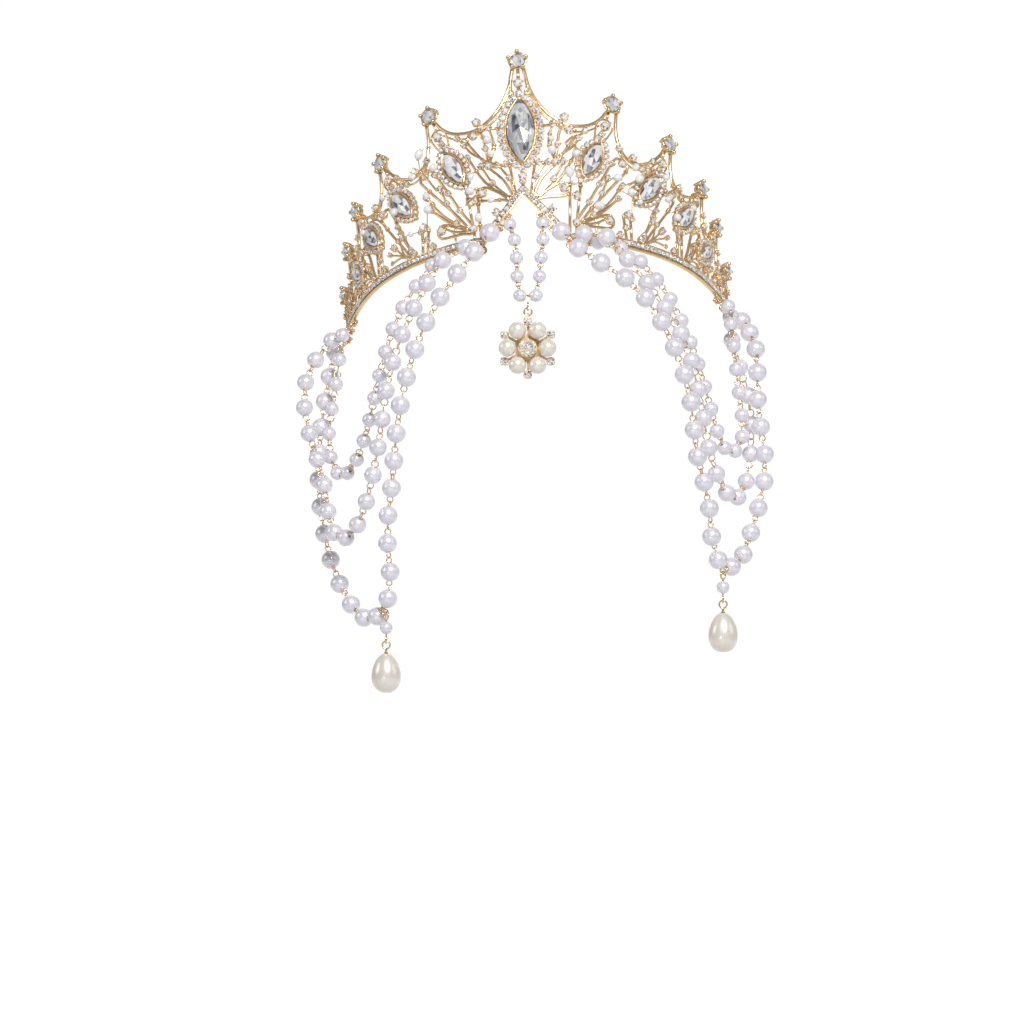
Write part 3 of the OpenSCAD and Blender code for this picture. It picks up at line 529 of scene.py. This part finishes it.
gold = gold_material("gold", (0.97, 0.74, 0.45), (0.70, 0.46, 0.23), (0.18, 0.32))
bright_gold = gold_material("bright_gold", (1.0, 0.80, 0.52), (0.76, 0.52, 0.28), (0.14, 0.28))
white_pearl = pearl_material("white_pearl", (0.96, 0.93, 0.98), (0.85, 0.81, 0.92))
cream_pearl = pearl_material("cream_pearl", (0.98, 0.93, 0.85), (0.90, 0.83, 0.73))
satin_gold = gold_material("satin_gold", (1.0, 0.82, 0.56), (0.92, 0.70, 0.42), (0.38, 0.55))
crystal = stone_material("crystal", (0.99, 0.99, 0.99), (0.42, 0.43, 0.46), 0.25)
milky = stone_material("milky_crystal", (0.99, 0.98, 0.98), (0.74, 0.75, 0.77), 0.08)
# Painted shade: the colour of the facets that stand for a dark reflection of the room.
shade = stone_material("crystal_shade", (0.66, 0.66, 0.70), (0.10, 0.11, 0.14), 0.4)
foil = stone_material("foil", (0.86, 0.87, 0.90), (0.55, 0.58, 0.62), 1.0)
opal = opal_material()

# Soldered frame.
TIP_ROWS = [(-s, h) for s, h in TIPS[:0:-1]] + TIPS
MARQUISES = ([(-q[0], *q[1:4], -q[4], q[5]) for q in SIDE_MARQUISES[::-1]] + [CENTRE_MARQUISE]
             + SIDE_MARQUISES)


def tip_size(i):
    return TIP_D * (1 - 0.03 * abs(i - 5))


def fall(i):
    shape = FRONT_FALL if i == 0 else SIDE_FALL
    start = (TIPS[i][0] + FOOT[0], TIPS[i][1] - FOOT[1])
    end = (TIPS[i + 1][0] - FOOT[0], TIPS[i + 1][1] - FOOT[1])
    return [(start[0] + a * (end[0] - start[0]),
             DIPS[i] + b * ((start[1] if k < 4 else end[1]) - DIPS[i])) for k, (a, b) in enumerate(shape)]


ON_WALL = []  # (place, direction) along every wire, about WALL_STEP apart
WALL_STEP = 0.8


def wall_wire(shape, rows, radius=WIRE_R, n=5, closed=False, depth=0.0):
    """A wire on the wall through rows of (along, height). Keeps its places for what it carries."""
    flat = spline([(s, h, 0) for s, h in rows], n, closed)
    for a, b in zip(flat, flat[1:]):
        pieces = max(1, round((b - a).length / WALL_STEP))
        ON_WALL.extend((a.lerp(b, k / pieces), (b - a).normalized()) for k in range(pieces))
    tube(shape, [spot(p.x, p.y, depth) for p in flat], radius, closed=closed)


def petal_rows(row, side):
    run = Vector((row[2] - row[0], row[3] - row[1]))
    l = run.length
    t = run / l
    half = row[4] / 2
    neck = l - half
    rise = [(0, 0.75), (neck * 0.3, half * 0.36), (neck * 0.62, half * 0.7), (neck, half),
            (neck + half * 0.71, half * 0.71)]
    turn = rise + [(l, 0)] + [(a, -b) for a, b in rise[::-1]]
    return [(side * (row[0] + a * t.x - b * t.y), row[1] + a * t.y + b * t.x) for a, b in turn]


def petal_stone(row):
    run = Vector((row[2] - row[0], row[3] - row[1])).normalized()
    back = row[5] / 2 + 0.35
    return (row[2] - run.x * back, row[3] - run.y * back, row[5])


def ray_rows(row, side):
    a, b = Vector(row[:2]), Vector(row[2:4])
    t = (b - a).normalized()
    m = (a + b) / 2 + row[4] * Vector((-t.y, t.x))
    return [(side * p.x, p.y) for p in ([a, b] if row[4] == 0 else [a, m, b])]


band = Shape()
pave = Shape()


def pave_stone(at, d, z=1.0):
    gem(pave, circle16(d), at @ Matrix.Translation((0, 0, z)), 0.24 * d, 0.3 * d, table=0.4, middle=0.72,
        girdle=0.08, keel=0.05 * d)


BAND_STEPS, BAND_STONES = 64, 49
half = BAND_T / 2
# The band's back plate, with a channel for the stones between two rails: height, outwards.
BAND_SECTION = [(BAND_H - 0.1, -half), (BAND_H, 0.2), (BAND_H - 0.1, half + 0.15),
                (BAND_H - 0.4, half + 0.15), (BAND_H - 0.55, 0.35), (0.3, 0.35), (0.15, half + 0.1),
                (-0.1, half + 0.2), (-0.25, half + 0.38), (-0.5, half + 0.42), (-0.78, half + 0.2),
                (-0.9, 0.35), (-0.9, -0.1), (-0.45, -half)]
for side in (-1, 1):
    start = BAR_FOOT - 1.2
    rows = [start + (BAND_HALF - start) * k / BAND_STEPS for k in range(BAND_STEPS + 1)]
    swept(band, BAND_SECTION, rows, lambda s, q: spot(side * s, q[0], q[1]))
    pitch = (BAND_HALF - BAR_FOOT - 0.6) / BAND_STONES
    for k in range(BAND_STONES):
        s = side * (BAR_FOOT + 0.4 + pitch * (k + 0.5))
        pave_stone(seat(s, 1.38), 1.92, 0.95)
        for h in (0.5, 2.26):
            ball(band, (0, 0, 0.95), 0.4, steps=6, rings=4, at=seat(s + side * pitch / 2, h))

bars = Shape()
BAR_STEPS, BAR_STONES, BAR_PITCH, BAR_FOOT_H = 12, 9, 2.52, 0.8
w = BAR_W / 2
# One bar of the V, with a channel too: across, outwards.
BAR_SECTION = [(w, -0.8), (w, 0.75), (w - 0.35, 0.8), (w - 0.45, 0.35), (0.45 - w, 0.35),
               (0.35 - w, 0.8), (-w, 0.75), (-w, -0.8)]
for side in (-1, 1):
    rows = [(side * BAR_FOOT * k / BAR_STEPS, APEX_H + (BAR_FOOT_H - APEX_H) * k / BAR_STEPS)
            for k in range(BAR_STEPS + 1)]
    t = Vector((side * BAR_FOOT, BAR_FOOT_H - APEX_H)).normalized()
    across = Vector((-t.y, t.x))
    swept(bars, BAR_SECTION, rows,
          lambda row, q: spot(row[0] + across.x * q[0], row[1] + across.y * q[0], q[1]))
    for k in range(BAR_STONES):
        q = Vector((0, APEX_H)) + t * (2.55 + BAR_PITCH * k)
        pave_stone(seat(q.x, q.y), 2.1, 0.95)
        for edge in (-1, 1):
            for step in (-BAR_PITCH / 4, BAR_PITCH / 4):
                p = q + t * step + across * edge * (w - 0.32)
                ball(bars, (0, 0, 1.0), 0.36, steps=6, rings=4, at=seat(p.x, p.y))
apex = seat(0, APEX_H - 0.2)
pave_stone(apex, 2.5, 1.0)
for k in range(4):
    ball(bars, (*around(1.15, (k + 0.5) / 4), 1.0), 0.36, steps=6, rings=4, at=apex)
prism(bars, [around(1.5, k / 12) for k in range(12)], -0.6, 0.9, apex, 0.2)

wires = Shape()
tips_of_fans = []
for side in (-1, 1):
    for i in range(5):
        wall_wire(wires, [(side * s, h) for s, h in fall(i)])
        wall_wire(wires, [(side * s, h - 2.3) for s, h in fall(i)[1:-1]], 0.42)
    wall_wire(wires, [(side * (109.4 + FOOT[0]), 12.4), (side * 112.6, 7.4), (side * 115.4, 2)])
    for q in PETALS:
        wall_wire(wires, petal_rows(q, side), 0.62, closed=True)
    for q in RAYS:
        rows = ray_rows(q, side)
        wall_wire(wires, rows, 0.6, n=6 if len(rows) > 2 else 1)
        for s, h in (rows[0], rows[-1]):
            ball(wires, (0, 0, 0), 0.8, steps=8, rings=5, at=seat(s, h))
    for q in FINE_WIRES:
        rows = ray_rows(q, side)
        wall_wire(wires, rows, 0.52, n=8, depth=0.2)
        ball(wires, (0, 0, 0.2), 0.72, steps=8, rings=5, at=seat(*rows[-1]))
    for s, h, length, first, last, count in FANS:
        for k in range(count):
            a = math.radians(first + (last - first) * k / (count - 1))
            aside = 2 * k / (count - 1) - 1
            reach = length * (1 - 0.16 * abs(aside))
            row = (s, h, s + reach * math.cos(a), h + reach * math.sin(a), -0.13 * reach * aside)
            rows = ray_rows(row, side)
            wall_wire(wires, rows, 0.46, n=7, depth=-0.2)
            if k % 2:
                tips_of_fans.append(rows[-1])
            else:
                torus(wires, seat(*rows[-1]), 0.75, 0.34, steps=12, sides=6)
    wall_wire(wires, [(side * 2, 71.8), (side * 2.9, 66.4), (side * 3.4, 59.6)], 0.8)
    for s, h in STARTS[side] + ENDS + [BROW_START]:
        torus(wires, seat(side * s, h), 1.3, 0.42, steps=18, sides=8)
wall_wire(wires, [(0, 72), (0, 66.6)], n=1)
wall_wire(wires, [(0, 63.8), (0, 60)], n=1)
wall_wire(wires, [(0, 29), (0, 20)], n=1)

settings = Shape()
for i, (s, h) in enumerate(TIP_ROWS):
    d, at = tip_size(i), seat(s, h)
    r = d / 2
    lathe(settings, [(0, -1.6), (r * 0.6, -1.6), (r * 0.66, -1.2), (r, -0.3), (r + 0.55, 0.75),
                     (r + 0.7, 1.15), (r + 0.55, 1.45), (r + 0.12, 1.45), (r * 0.9, 0.85),
                     (r * 0.5, -0.3), (0, -0.9)], at=at)
    claws(settings, at, d, 5, 0.85, 0.92, low=-0.9, high=STONE_SEAT + STONE_GAP + 0.14 * d)


def small_cup(shape, at, d, count=4, bead=0.38):
    """A cup for a small round stone, with claws."""
    r = d / 2
    lathe(shape, [(0, -0.5), (r * 0.7, -0.5), (r + 0.16, 0.3), (r + 0.24, 1.15), (r + 0.02, 1.2),
                  (r * 0.8, 0.7), (0, 0.15)], at=at, steps=14)
    claws(shape, at, d, count, 0.22, bead, low=-0.1, high=STONE_SEAT + STONE_GAP + 0.16 * d)


accents = Shape()
cupped = [petal_stone(q) for q in PETALS] + SIDE_ACCENTS
stones_here = list(CENTRE_ACCENTS) + [(side * s, h, d) for side in (-1, 1)
                                      for s, h, d in cupped + [(q[0], q[1], q[3]) for q in KEYHOLES]]
ACCENT_SCALE = 0.86  # the cups' walls take the rest of the CAD stone's width
for s, h, d in stones_here:
    small_cup(settings, seat(s, h), ACCENT_SCALE * d, 5, bead=0.44)
    round_stone(accents, seat(s, h), ACCENT_SCALE * d)


def cupped_stone(s, h, d, bead, z, drawn=None):
    """A small stone in a cup of four claws. drawn is its diameter if the cup is wider."""
    small_cup(settings, seat(s, h), d, bead=bead)
    pave_stone(seat(s, h), drawn or d, z)


for side in (-1, 1):
    for s, h, d in SMALL_STONES + STRAY_STONES:
        here = Vector((side * s, h, 0))
        if h > STONES_ON_BAND:
            here = min(ON_WALL, key=lambda q: (q[0] - here).length)[0]
        cupped_stone(here.x, here.y, d, 0.35, 1.05)
for s, h in tips_of_fans:
    cupped_stone(s, h, 1.7, 0.3, 1.0)
for h in (33.4, 24):
    cupped_stone(0, h, 2.3, 0.36, 1.05)

halos = Shape()
for row in MARQUISES:
    at = seat(row[0], row[1], 0, row[4])
    out = STONE_GAP + BEZEL_W
    prism(halos, pointed(row, out + row[5] * 0.62, 12), -PLATE_BACK, 0.35, at)
    rim = [Vector((x, y, 0.85)) for x, y in pointed(row, STONE_GAP + BEZEL_W / 2, 20)]
    tube(halos, [at @ p for p in rim], 0.56 * BEZEL_W, sides=10, closed=True, flat=2.0,
         up=(at.to_3x3() @ Vector((0, 0, 1))))
    # A ring of small stones round the rim, evenly spaced along it.
    d = row[5] * 0.84
    path = pointed(row, out + d / 2 + 0.08, 60)
    length = sum(math.dist(path[k], path[(k + 1) % 120]) for k in range(120))
    count = int(length / (d + 0.16)) // 2 * 2
    want, reach, k = 0.0, 0.0, 0
    while k < 120 and want < length - 0.5:
        a, b = path[k], path[(k + 1) % 120]
        l = math.dist(a, b)
        if reach + l < want:
            reach += l
            k += 1
            continue
        f = (want - reach) / l
        x, y = a[0] + f * (b[0] - a[0]), a[1] + f * (b[1] - a[1])
        here = at @ Matrix.Translation((x, y, 0))
        lathe(halos, [(0, -0.45), (d / 2 - 0.1, -0.45), (d / 2 + 0.12, 0.9), (d / 2 - 0.1, 0.95),
                      (d / 2 - 0.3, 0.5), (0, 0.3)], at=here, steps=10)
        pave_stone(here, d - 0.12, 1.0)
        u = Vector((x / (row[3] / 2 + out) ** 2, y / (row[2] / 2 + out * POINT_GROW) ** 2)).normalized()
        for turn in (-0.6, 0.6):
            c, n = math.cos(turn), math.sin(turn)
            ball(halos, ((u.x * c - u.y * n) * d * 0.52, (u.x * n + u.y * c) * d * 0.52, 1.15), 0.32,
                 steps=6, rings=4, at=here)
        want += length / count

# Keyhole arches over the small round stones.
for side in (-1, 1):
    for i, (s, h, r, d) in enumerate(KEYHOLES):
        tip = Vector(TIPS[i + 1])
        stone = Vector(SIDE_MARQUISES[i][:2])
        hole = Vector((s, h))
        up = (tip - hole).normalized()
        down = (stone - hole).normalized()
        wide = Vector((-up.y, up.x)) * (r + 0.05)
        reach = (stone - hole).length - SIDE_MARQUISES[i][2] / 2 - 0.8
        rows = [hole + down * reach + wide * 0.55, hole + wide, hole + up * r * 0.75 + wide * 0.72,
                hole + up * (r + 0.25), hole + up * r * 0.75 - wide * 0.72, hole - wide,
                hole + down * reach - wide * 0.55]
        wall_wire(wires, [(side * p.x, p.y) for p in rows], 0.42)
        wall_wire(wires, [(side * p.x, p.y) for p in (hole + up * (r + 0.2), tip - up * 2.4)], 0.5, n=1)
        p = hole + down * (d / 2 + 1.5)
        cupped_stone(side * p.x, p.y, 2.2, 0.3, 1.0, drawn=2.1)

piece("band", band, [gold], "crown", ["tiara_frame"])
piece("chevron", bars, [gold], "crown")
piece("frame_wires", wires, [bright_gold], "crown")
piece("stone_settings", settings, [gold], "crown")
piece("halo_settings", halos, [gold], "crown")
piece("small_stones", pave, [milky, foil, shade], "crown")
piece("round_stones", accents, [milky, foil, shade], "crown", ["accent_stones"])
for i, (s, h) in enumerate(TIP_ROWS):
    stone = Shape()
    round_stone(stone, seat(s, h), tip_size(i))
    piece(f"tip_stone_cut_{i + 1}", stone, [crystal, foil, shade], "crown", [f"tip_stone_{i + 1}"])
for i, row in enumerate(MARQUISES):
    stone = Shape()
    at = seat(row[0], row[1], STONE_SEAT + STONE_GAP + 0.1 * row[3], row[4])
    gem(stone, pointed(row, 0), at, 0.2 * row[3], 0.16 * row[3], table=0.62, middle=0.82, low=(0.2, 0.62),
        keel=0.06 * row[3])
    look = [crystal, foil, shade] if i == 4 else [milky, foil, shade]
    piece(f"marquise_cut_{i + 1}", stone, look, "crown", [f"marquise_{i + 1}"])

# Milky beads and thin gold tubes, tied to the wires of the frame with finer wire.
loose = Shape()
milk = Shape()


TIE_NEAR, TIE_FAR = 2.3, 11  # how far from a bead its wire may be tied
THIN = 0.2  # radius of the tying wire


def tied(s, h):
    """Places of the frame's wires on both sides of a point of the wall, the nearest that suit."""
    here = Vector((s, h, 0))
    near = sorted(((p - here, t) for p, t in ON_WALL if TIE_NEAR < (p - here).length < TIE_FAR),
                  key=lambda q: q[0].length)[::2][:70]
    pair = min(((a, b) for a in near for b in near),
               key=lambda q: q[0][0].length + q[1][0].length
               + 10 * (1 + q[0][0].normalized().dot(q[1][0].normalized())))
    return [(here + v, t) for v, t in pair]


def wound(place, along):
    """Two turns of fine wire round a wire of the frame. Gives the point that it leaves from."""
    axis = spot(place.x + along.x, place.y + along.y) - spot(place.x, place.y)
    for k in (-0.22, 0.22):
        torus(loose, aimed(spot(place.x + k * along.x, place.y + k * along.y), axis), WIRE_R + 0.12,
              THIN, steps=12, sides=6)
    return spot(place.x, place.y, WIRE_R + 0.2)


for k, (s, h) in enumerate(BEADS):
    (a, along_a), (b, along_b) = tied(s, h)
    size = 1.4 + 0.28 * math.sin(2.4 * k)
    centre = spot(s, h, size + 0.9)
    ends = [wound(a, along_a), centre, wound(b, along_b)]
    tube(loose, spline(ends, 8), THIN, sides=6)
    axis = (ends[2] - ends[0]).normalized()
    longer = 1.28 if k % 3 == 0 else 1.0
    first, rings = 0.17, 14
    arc = [(size * math.sin(q), -size * longer * math.cos(q))
           for q in [first + (math.pi - 2 * first) * j / rings for j in range(rings + 1)]]
    lathe(milk, arc, at=aimed(centre, axis), steps=20)
    for end in (-1, 1):
        ball(loose, centre + axis * end * size * longer, 0.42, steps=8, rings=5)

for s, h, e, g in TUBES:
    a, b = spot(s, h, 1.7), spot(e, g, 1.7)
    axis, length = (b - a).normalized(), (b - a).length
    rim = [(0.26, 0), (0.5, 0.08), (0.56, 0.3), (0.5, 0.5)]
    lathe(loose, rim + [(r, length - z) for r, z in rim[::-1]], at=aimed(a, axis), steps=12)
    for x, y, p, way in ((s, h, a, -1), (e, g, b, 1)):
        here = Vector((x, y, 0))
        place, along = min(ON_WALL, key=lambda q: abs((q[0] - here).length - 1.6))
        run = [p - axis * way * 0.4, p + axis * way * 0.5, wound(place, along)]
        tube(loose, spline(run, 6), THIN, sides=6)

piece("tied_wires", loose, [bright_gold], "crown")
piece("milky_beads", milk, [opal], "crown")


# Strings of pearls.
def islands(name):
    """Centre and size of each separate solid of a CAD node, in millimetres."""
    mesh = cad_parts[name].data
    co = np.zeros(len(mesh.vertices) * 3, np.float32)
    mesh.vertices.foreach_get("co", co)
    co = co.reshape(-1, 3) / MM
    keys, inverse = np.unique(np.round(co, 3), axis=0, return_inverse=True)
    inverse = inverse.reshape(-1)
    parent = list(range(len(keys)))

    def root(i):
        while parent[i] != i:
            parent[i] = parent[parent[i]]
            i = parent[i]
        return i

    for polygon in mesh.polygons:
        ids = [inverse[v] for v in polygon.vertices]
        for j in ids[1:]:
            a, b = root(ids[0]), root(j)
            if a != b:
                parent[a] = b
    groups = {}
    for i in range(len(keys)):
        groups.setdefault(root(i), []).append(keys[i])
    out = []
    for points in groups.values():
        points = np.array(points)
        centre = (points.min(0) + points.max(0)) / 2
        out.append((Vector(centre), float(np.linalg.norm(points - centre, axis=1).max())))
    return out


def in_order(pearls, start):
    """Pearls sorted along their string from the one nearest start."""
    left, out, here = list(pearls), [], start
    while left:
        i = min(range(len(left)), key=lambda k: (left[k][0] - here).length)
        out.append(left.pop(i))
        here = out[-1][0]
    return out


BORE = 0.55
LINK_WIRE = 0.24
# A solid's radius is measured to its corners, which stand outside the round bead.
TRIM = 0.92


def drilled(shape, centre, axis, r, steps=26, rings=16):
    """A round bead with a hole along its axis, its mouth a little rounded."""
    first = math.asin(BORE / r)
    arc = [(r * math.sin(a), -r * math.cos(a)) for a in
           [first + 0.04 + (math.pi - 2 * first - 0.08) * k / rings for k in range(rings + 1)]]
    deep = r * math.cos(first) - 0.12
    lathe(shape, arc + [(BORE, deep), (BORE, -deep)], at=aimed(centre, axis), steps=steps, closed=True)


def loop_pair(shape, a, b, axis, turn):
    """Two wire loops that hang in each other across the gap from a to b."""
    gap = (b - a).length
    bite = 0.3
    r = (gap + 2 * bite + 2 * LINK_WIRE + 0.04) / 4
    side = axis.orthogonal().normalized()
    side.rotate(Matrix.Rotation(turn, 3, axis))
    other = axis.cross(side)
    for start, sign, normal in ((a, 1, side), (b, -1, other)):
        centre = start + sign * axis * (r - bite)
        torus(shape, aimed(centre, normal), r, LINK_WIRE, steps=14, sides=6)
        tube(shape, [start - sign * axis * (bite + 0.7), start - sign * axis * (bite - 0.02)], LINK_WIRE,
             sides=6)


def string(name, start, end):
    """The pearls and links of one string, and the little chains from its eyes."""
    beads, links = Shape(), Shape()
    row = [(centre, r * TRIM) for centre, r in in_order(islands(name + "_pearls"), start)]
    count = len(row)
    for k, (centre, r) in enumerate(row):
        before = row[k - 1][0] if k else start
        after = row[k + 1][0] if k + 1 < count else end
        drilled(beads, centre, (after - before).normalized(), r)
        if k + 1 < count:
            axis = (after - centre).normalized()
            loop_pair(links, centre + axis * r, after - axis * row[k + 1][1], axis, 0.9 * k)
    for eye, (centre, r) in ((start, row[0]), (end, row[-1])):
        axis = (centre - eye).normalized()
        length = (centre - eye).length - r + 1.2
        chain = max(2, round(length / 1.25))
        pitch = length / chain
        for k in range(chain):
            normal = axis.orthogonal() if k % 2 else axis.cross(axis.orthogonal())
            place = eye + axis * (pitch * (k + 0.5) - 1)
            torus(links, aimed(place, normal), pitch / 2 + LINK_WIRE, LINK_WIRE, steps=14, sides=6)
    piece(name + "_beads", beads, [white_pearl], "crown", [name + "_pearls"])
    piece(name + "_links", links, [bright_gold], "crown", [name + "_thread"])


for side_name, side in (("left", -1), ("right", 1)):
    for run, (s, h), (e, g) in zip(RUNS, STARTS[side], ENDS):
        string(f"{side_name}_{run}", spot(side * s, h), spot(side * e, g))
string("brow", spot(-BROW_START[0], BROW_START[1]), spot(*BROW_START))


# Pendant and drops.
def middle(name):
    low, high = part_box(name)
    return (low + high) / 2 / MM


for k in range(6):
    name = f"pendant_pearl_{k + 1}"
    bead = Shape()
    low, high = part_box(name)
    ball(bead, middle(name), TRIM * (high.x - low.x) / 2 / MM, steps=32, rings=20)
    piece(f"petal_bead_{k + 1}", bead, [cream_pearl], "forehead_pendant", [name])

cluster, prongs = Shape(), Shape()
hub = middle("pendant_stones")
for centre, r in islands("pendant_stones"):
    far = (centre - hub).length > 5
    d, count = (2.8, 4) if far else (2.3, 5)
    at = aimed(Vector((centre.x, centre.y + 0.05, centre.z)), (0, -1, 0))
    gem(cluster, circle16(d), at, 0.2 * d, 0.18 * d, table=0.42, girdle=0.1, keel=0.05 * d)
    for k in range(count):
        x, y = around(d / 2 + (0.1 if far else 0.02), 0.125 + k / count)
        ball(prongs, (x, y, 0.2), 0.42 if far else 0.3, steps=8, rings=6, at=at)
    torus(prongs, at @ Matrix.Translation((0, 0, -0.18)), d / 2 + 0.02, 0.22, steps=20, sides=6)
piece("pendant_cut_stones", cluster, [milky, foil, shade], "forehead_pendant", ["pendant_stones"])
piece("pendant_prongs", prongs, [satin_gold], "forehead_pendant")

DROP_R = 11.4 * 0.548  # before the profile below narrows it
for side in ("left", "right"):
    drop = Shape()
    low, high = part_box(f"{side}_drop_pearl")
    tall = (high.z - low.z) / MM
    # A pear: round below, narrowing to its neck, with the hole for the peg at the top.
    profile = [(0, 0)]
    for k in range(1, 30):
        a = math.pi * k / 30 * 0.93
        rise = (1 - math.cos(a)) / 2
        profile.append((DROP_R * math.sin(a) ** 0.85 * (1 - 0.3 * rise ** 1.6), tall * rise))
    profile += [(0.75, tall), (0.6, tall - 0.3), (0.6, tall - 3.2), (0, tall - 3.2)]
    foot = middle(f"{side}_drop_pearl")
    lathe(drop, profile, at=Matrix.Translation((foot.x, foot.y, low.z / MM)), steps=40)
    piece(f"{side}_drop_bead_smooth", drop, [cream_pearl], f"{side}_drop",
          [f"{side}_drop_pearl"])
    bead = Shape()
    centre, r = islands(f"{side}_drop_bead")[0]
    drilled(bead, centre, Vector((0, 0, 1)), r, steps=28, rings=18)
    piece(f"{side}_small_bead", bead, [white_pearl], "crown", [f"{side}_drop_bead"])

for name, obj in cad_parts.items():
    if obj.hide_render:
        continue
    obj.data.materials.clear()
    obj.data.materials.append(satin_gold if name == "pendant_setting" else bright_gold)

# Floor, light and world.
stage = bpy.data.meshes.new("floor")
FLOOR_Z, BEND_START, BEND_R = -0.36, 0.9, 0.6
run = [(-2.4, FLOOR_Z), (BEND_START, FLOOR_Z)]
for k in range(1, 11):
    a = math.pi / 2 * k / 10
    run.append((BEND_START + BEND_R * math.sin(a), FLOOR_Z + BEND_R * (1 - math.cos(a))))
run.append((BEND_START + BEND_R, 2.2))
points = [(x, y, z) for x in (-2.5, 2.5) for y, z in run]
n = len(run)
stage.from_pydata(points, [], [(k, n + k, n + k + 1, k + 1) for k in range(n - 1)])
stage.polygons.foreach_set("use_smooth", [True] * (n - 1))
m, nodes, links, s = new_material("floor")
mix(nodes, links, noise(nodes, links, 3, 2), (0.44, 0.44, 0.44), (0.47, 0.47, 0.47), s.inputs["Base Color"])
s.inputs["Roughness"].default_value = 0.85
s.inputs["Emission Color"].default_value = (1, 1, 1, 1)
# Painted light: the floor glows, brightest where the camera sees it, so that the room about the crown stays
# dimmer.
split = nodes.new("ShaderNodeSeparateXYZ")
aside = nodes.new("ShaderNodeMath")
aside.operation = "ABSOLUTE"
glow = nodes.new("ShaderNodeMath")
glow.operation = "MULTIPLY"
links.new(place_of(nodes), split.inputs["Vector"])
links.new(split.outputs["X"], aside.inputs[0])
spread(nodes, links, aside.outputs[0], 0.76, 0.30, glow.inputs[0], 0.6, 1.5)
spread(nodes, links, split.outputs["Y"], 0.25, 1.0, glow.inputs[1], -0.2, 0.46)
links.new(glow.outputs[0], s.inputs["Emission Strength"])
stage.materials.append(m)
floor = bpy.data.objects.new("floor", stage)
bpy.context.scene.collection.objects.link(floor)


def softbox(name, where, size, power, shape="SQUARE"):
    """An area light that faces the crown."""
    data = bpy.data.lights.new(name, "AREA")
    data.shape = shape
    data.size = size
    data.energy = power
    obj = bpy.data.objects.new(name, data)
    obj.location = where
    obj.rotation_euler = (LIGHT_AIM - Vector(where)).to_track_quat("-Z", "Y").to_euler()
    bpy.context.scene.collection.objects.link(obj)


LIGHT_AIM = Vector((0, -0.04, -0.02))
softbox("upper_front", (0.25, -1.15, 0.76), 0.46, 15.5, "DISK")
softbox("lower_front", (-0.384, -1.444, -0.374), 0.40, 1.6, "DISK")
softbox("left_side", (-1.0, -0.3, 0.3), 0.5, 1.3)
softbox("right_side", (1.0, -0.3, 0.3), 0.5, 0.7)

world = bpy.data.worlds.new("studio")
bpy.context.scene.world = world
world.use_nodes = True
nodes, links = world.node_tree.nodes, world.node_tree.links
where = nodes.new("ShaderNodeTexCoord")
split = nodes.new("ShaderNodeSeparateXYZ")
links.new(where.outputs["Generated"], split.inputs["Vector"])
spread(nodes, links, split.outputs["Y"], 0.13, 0.24, nodes["Background"].inputs["Strength"], -0.6, 0.5)
nodes["Background"].inputs["Color"].default_value = (0.97, 0.98, 1.0, 1)

bpy.context.scene.view_settings.view_transform = "Standard"
bpy.context.scene.view_settings.look = "None"

bpy.context.view_layer.update()
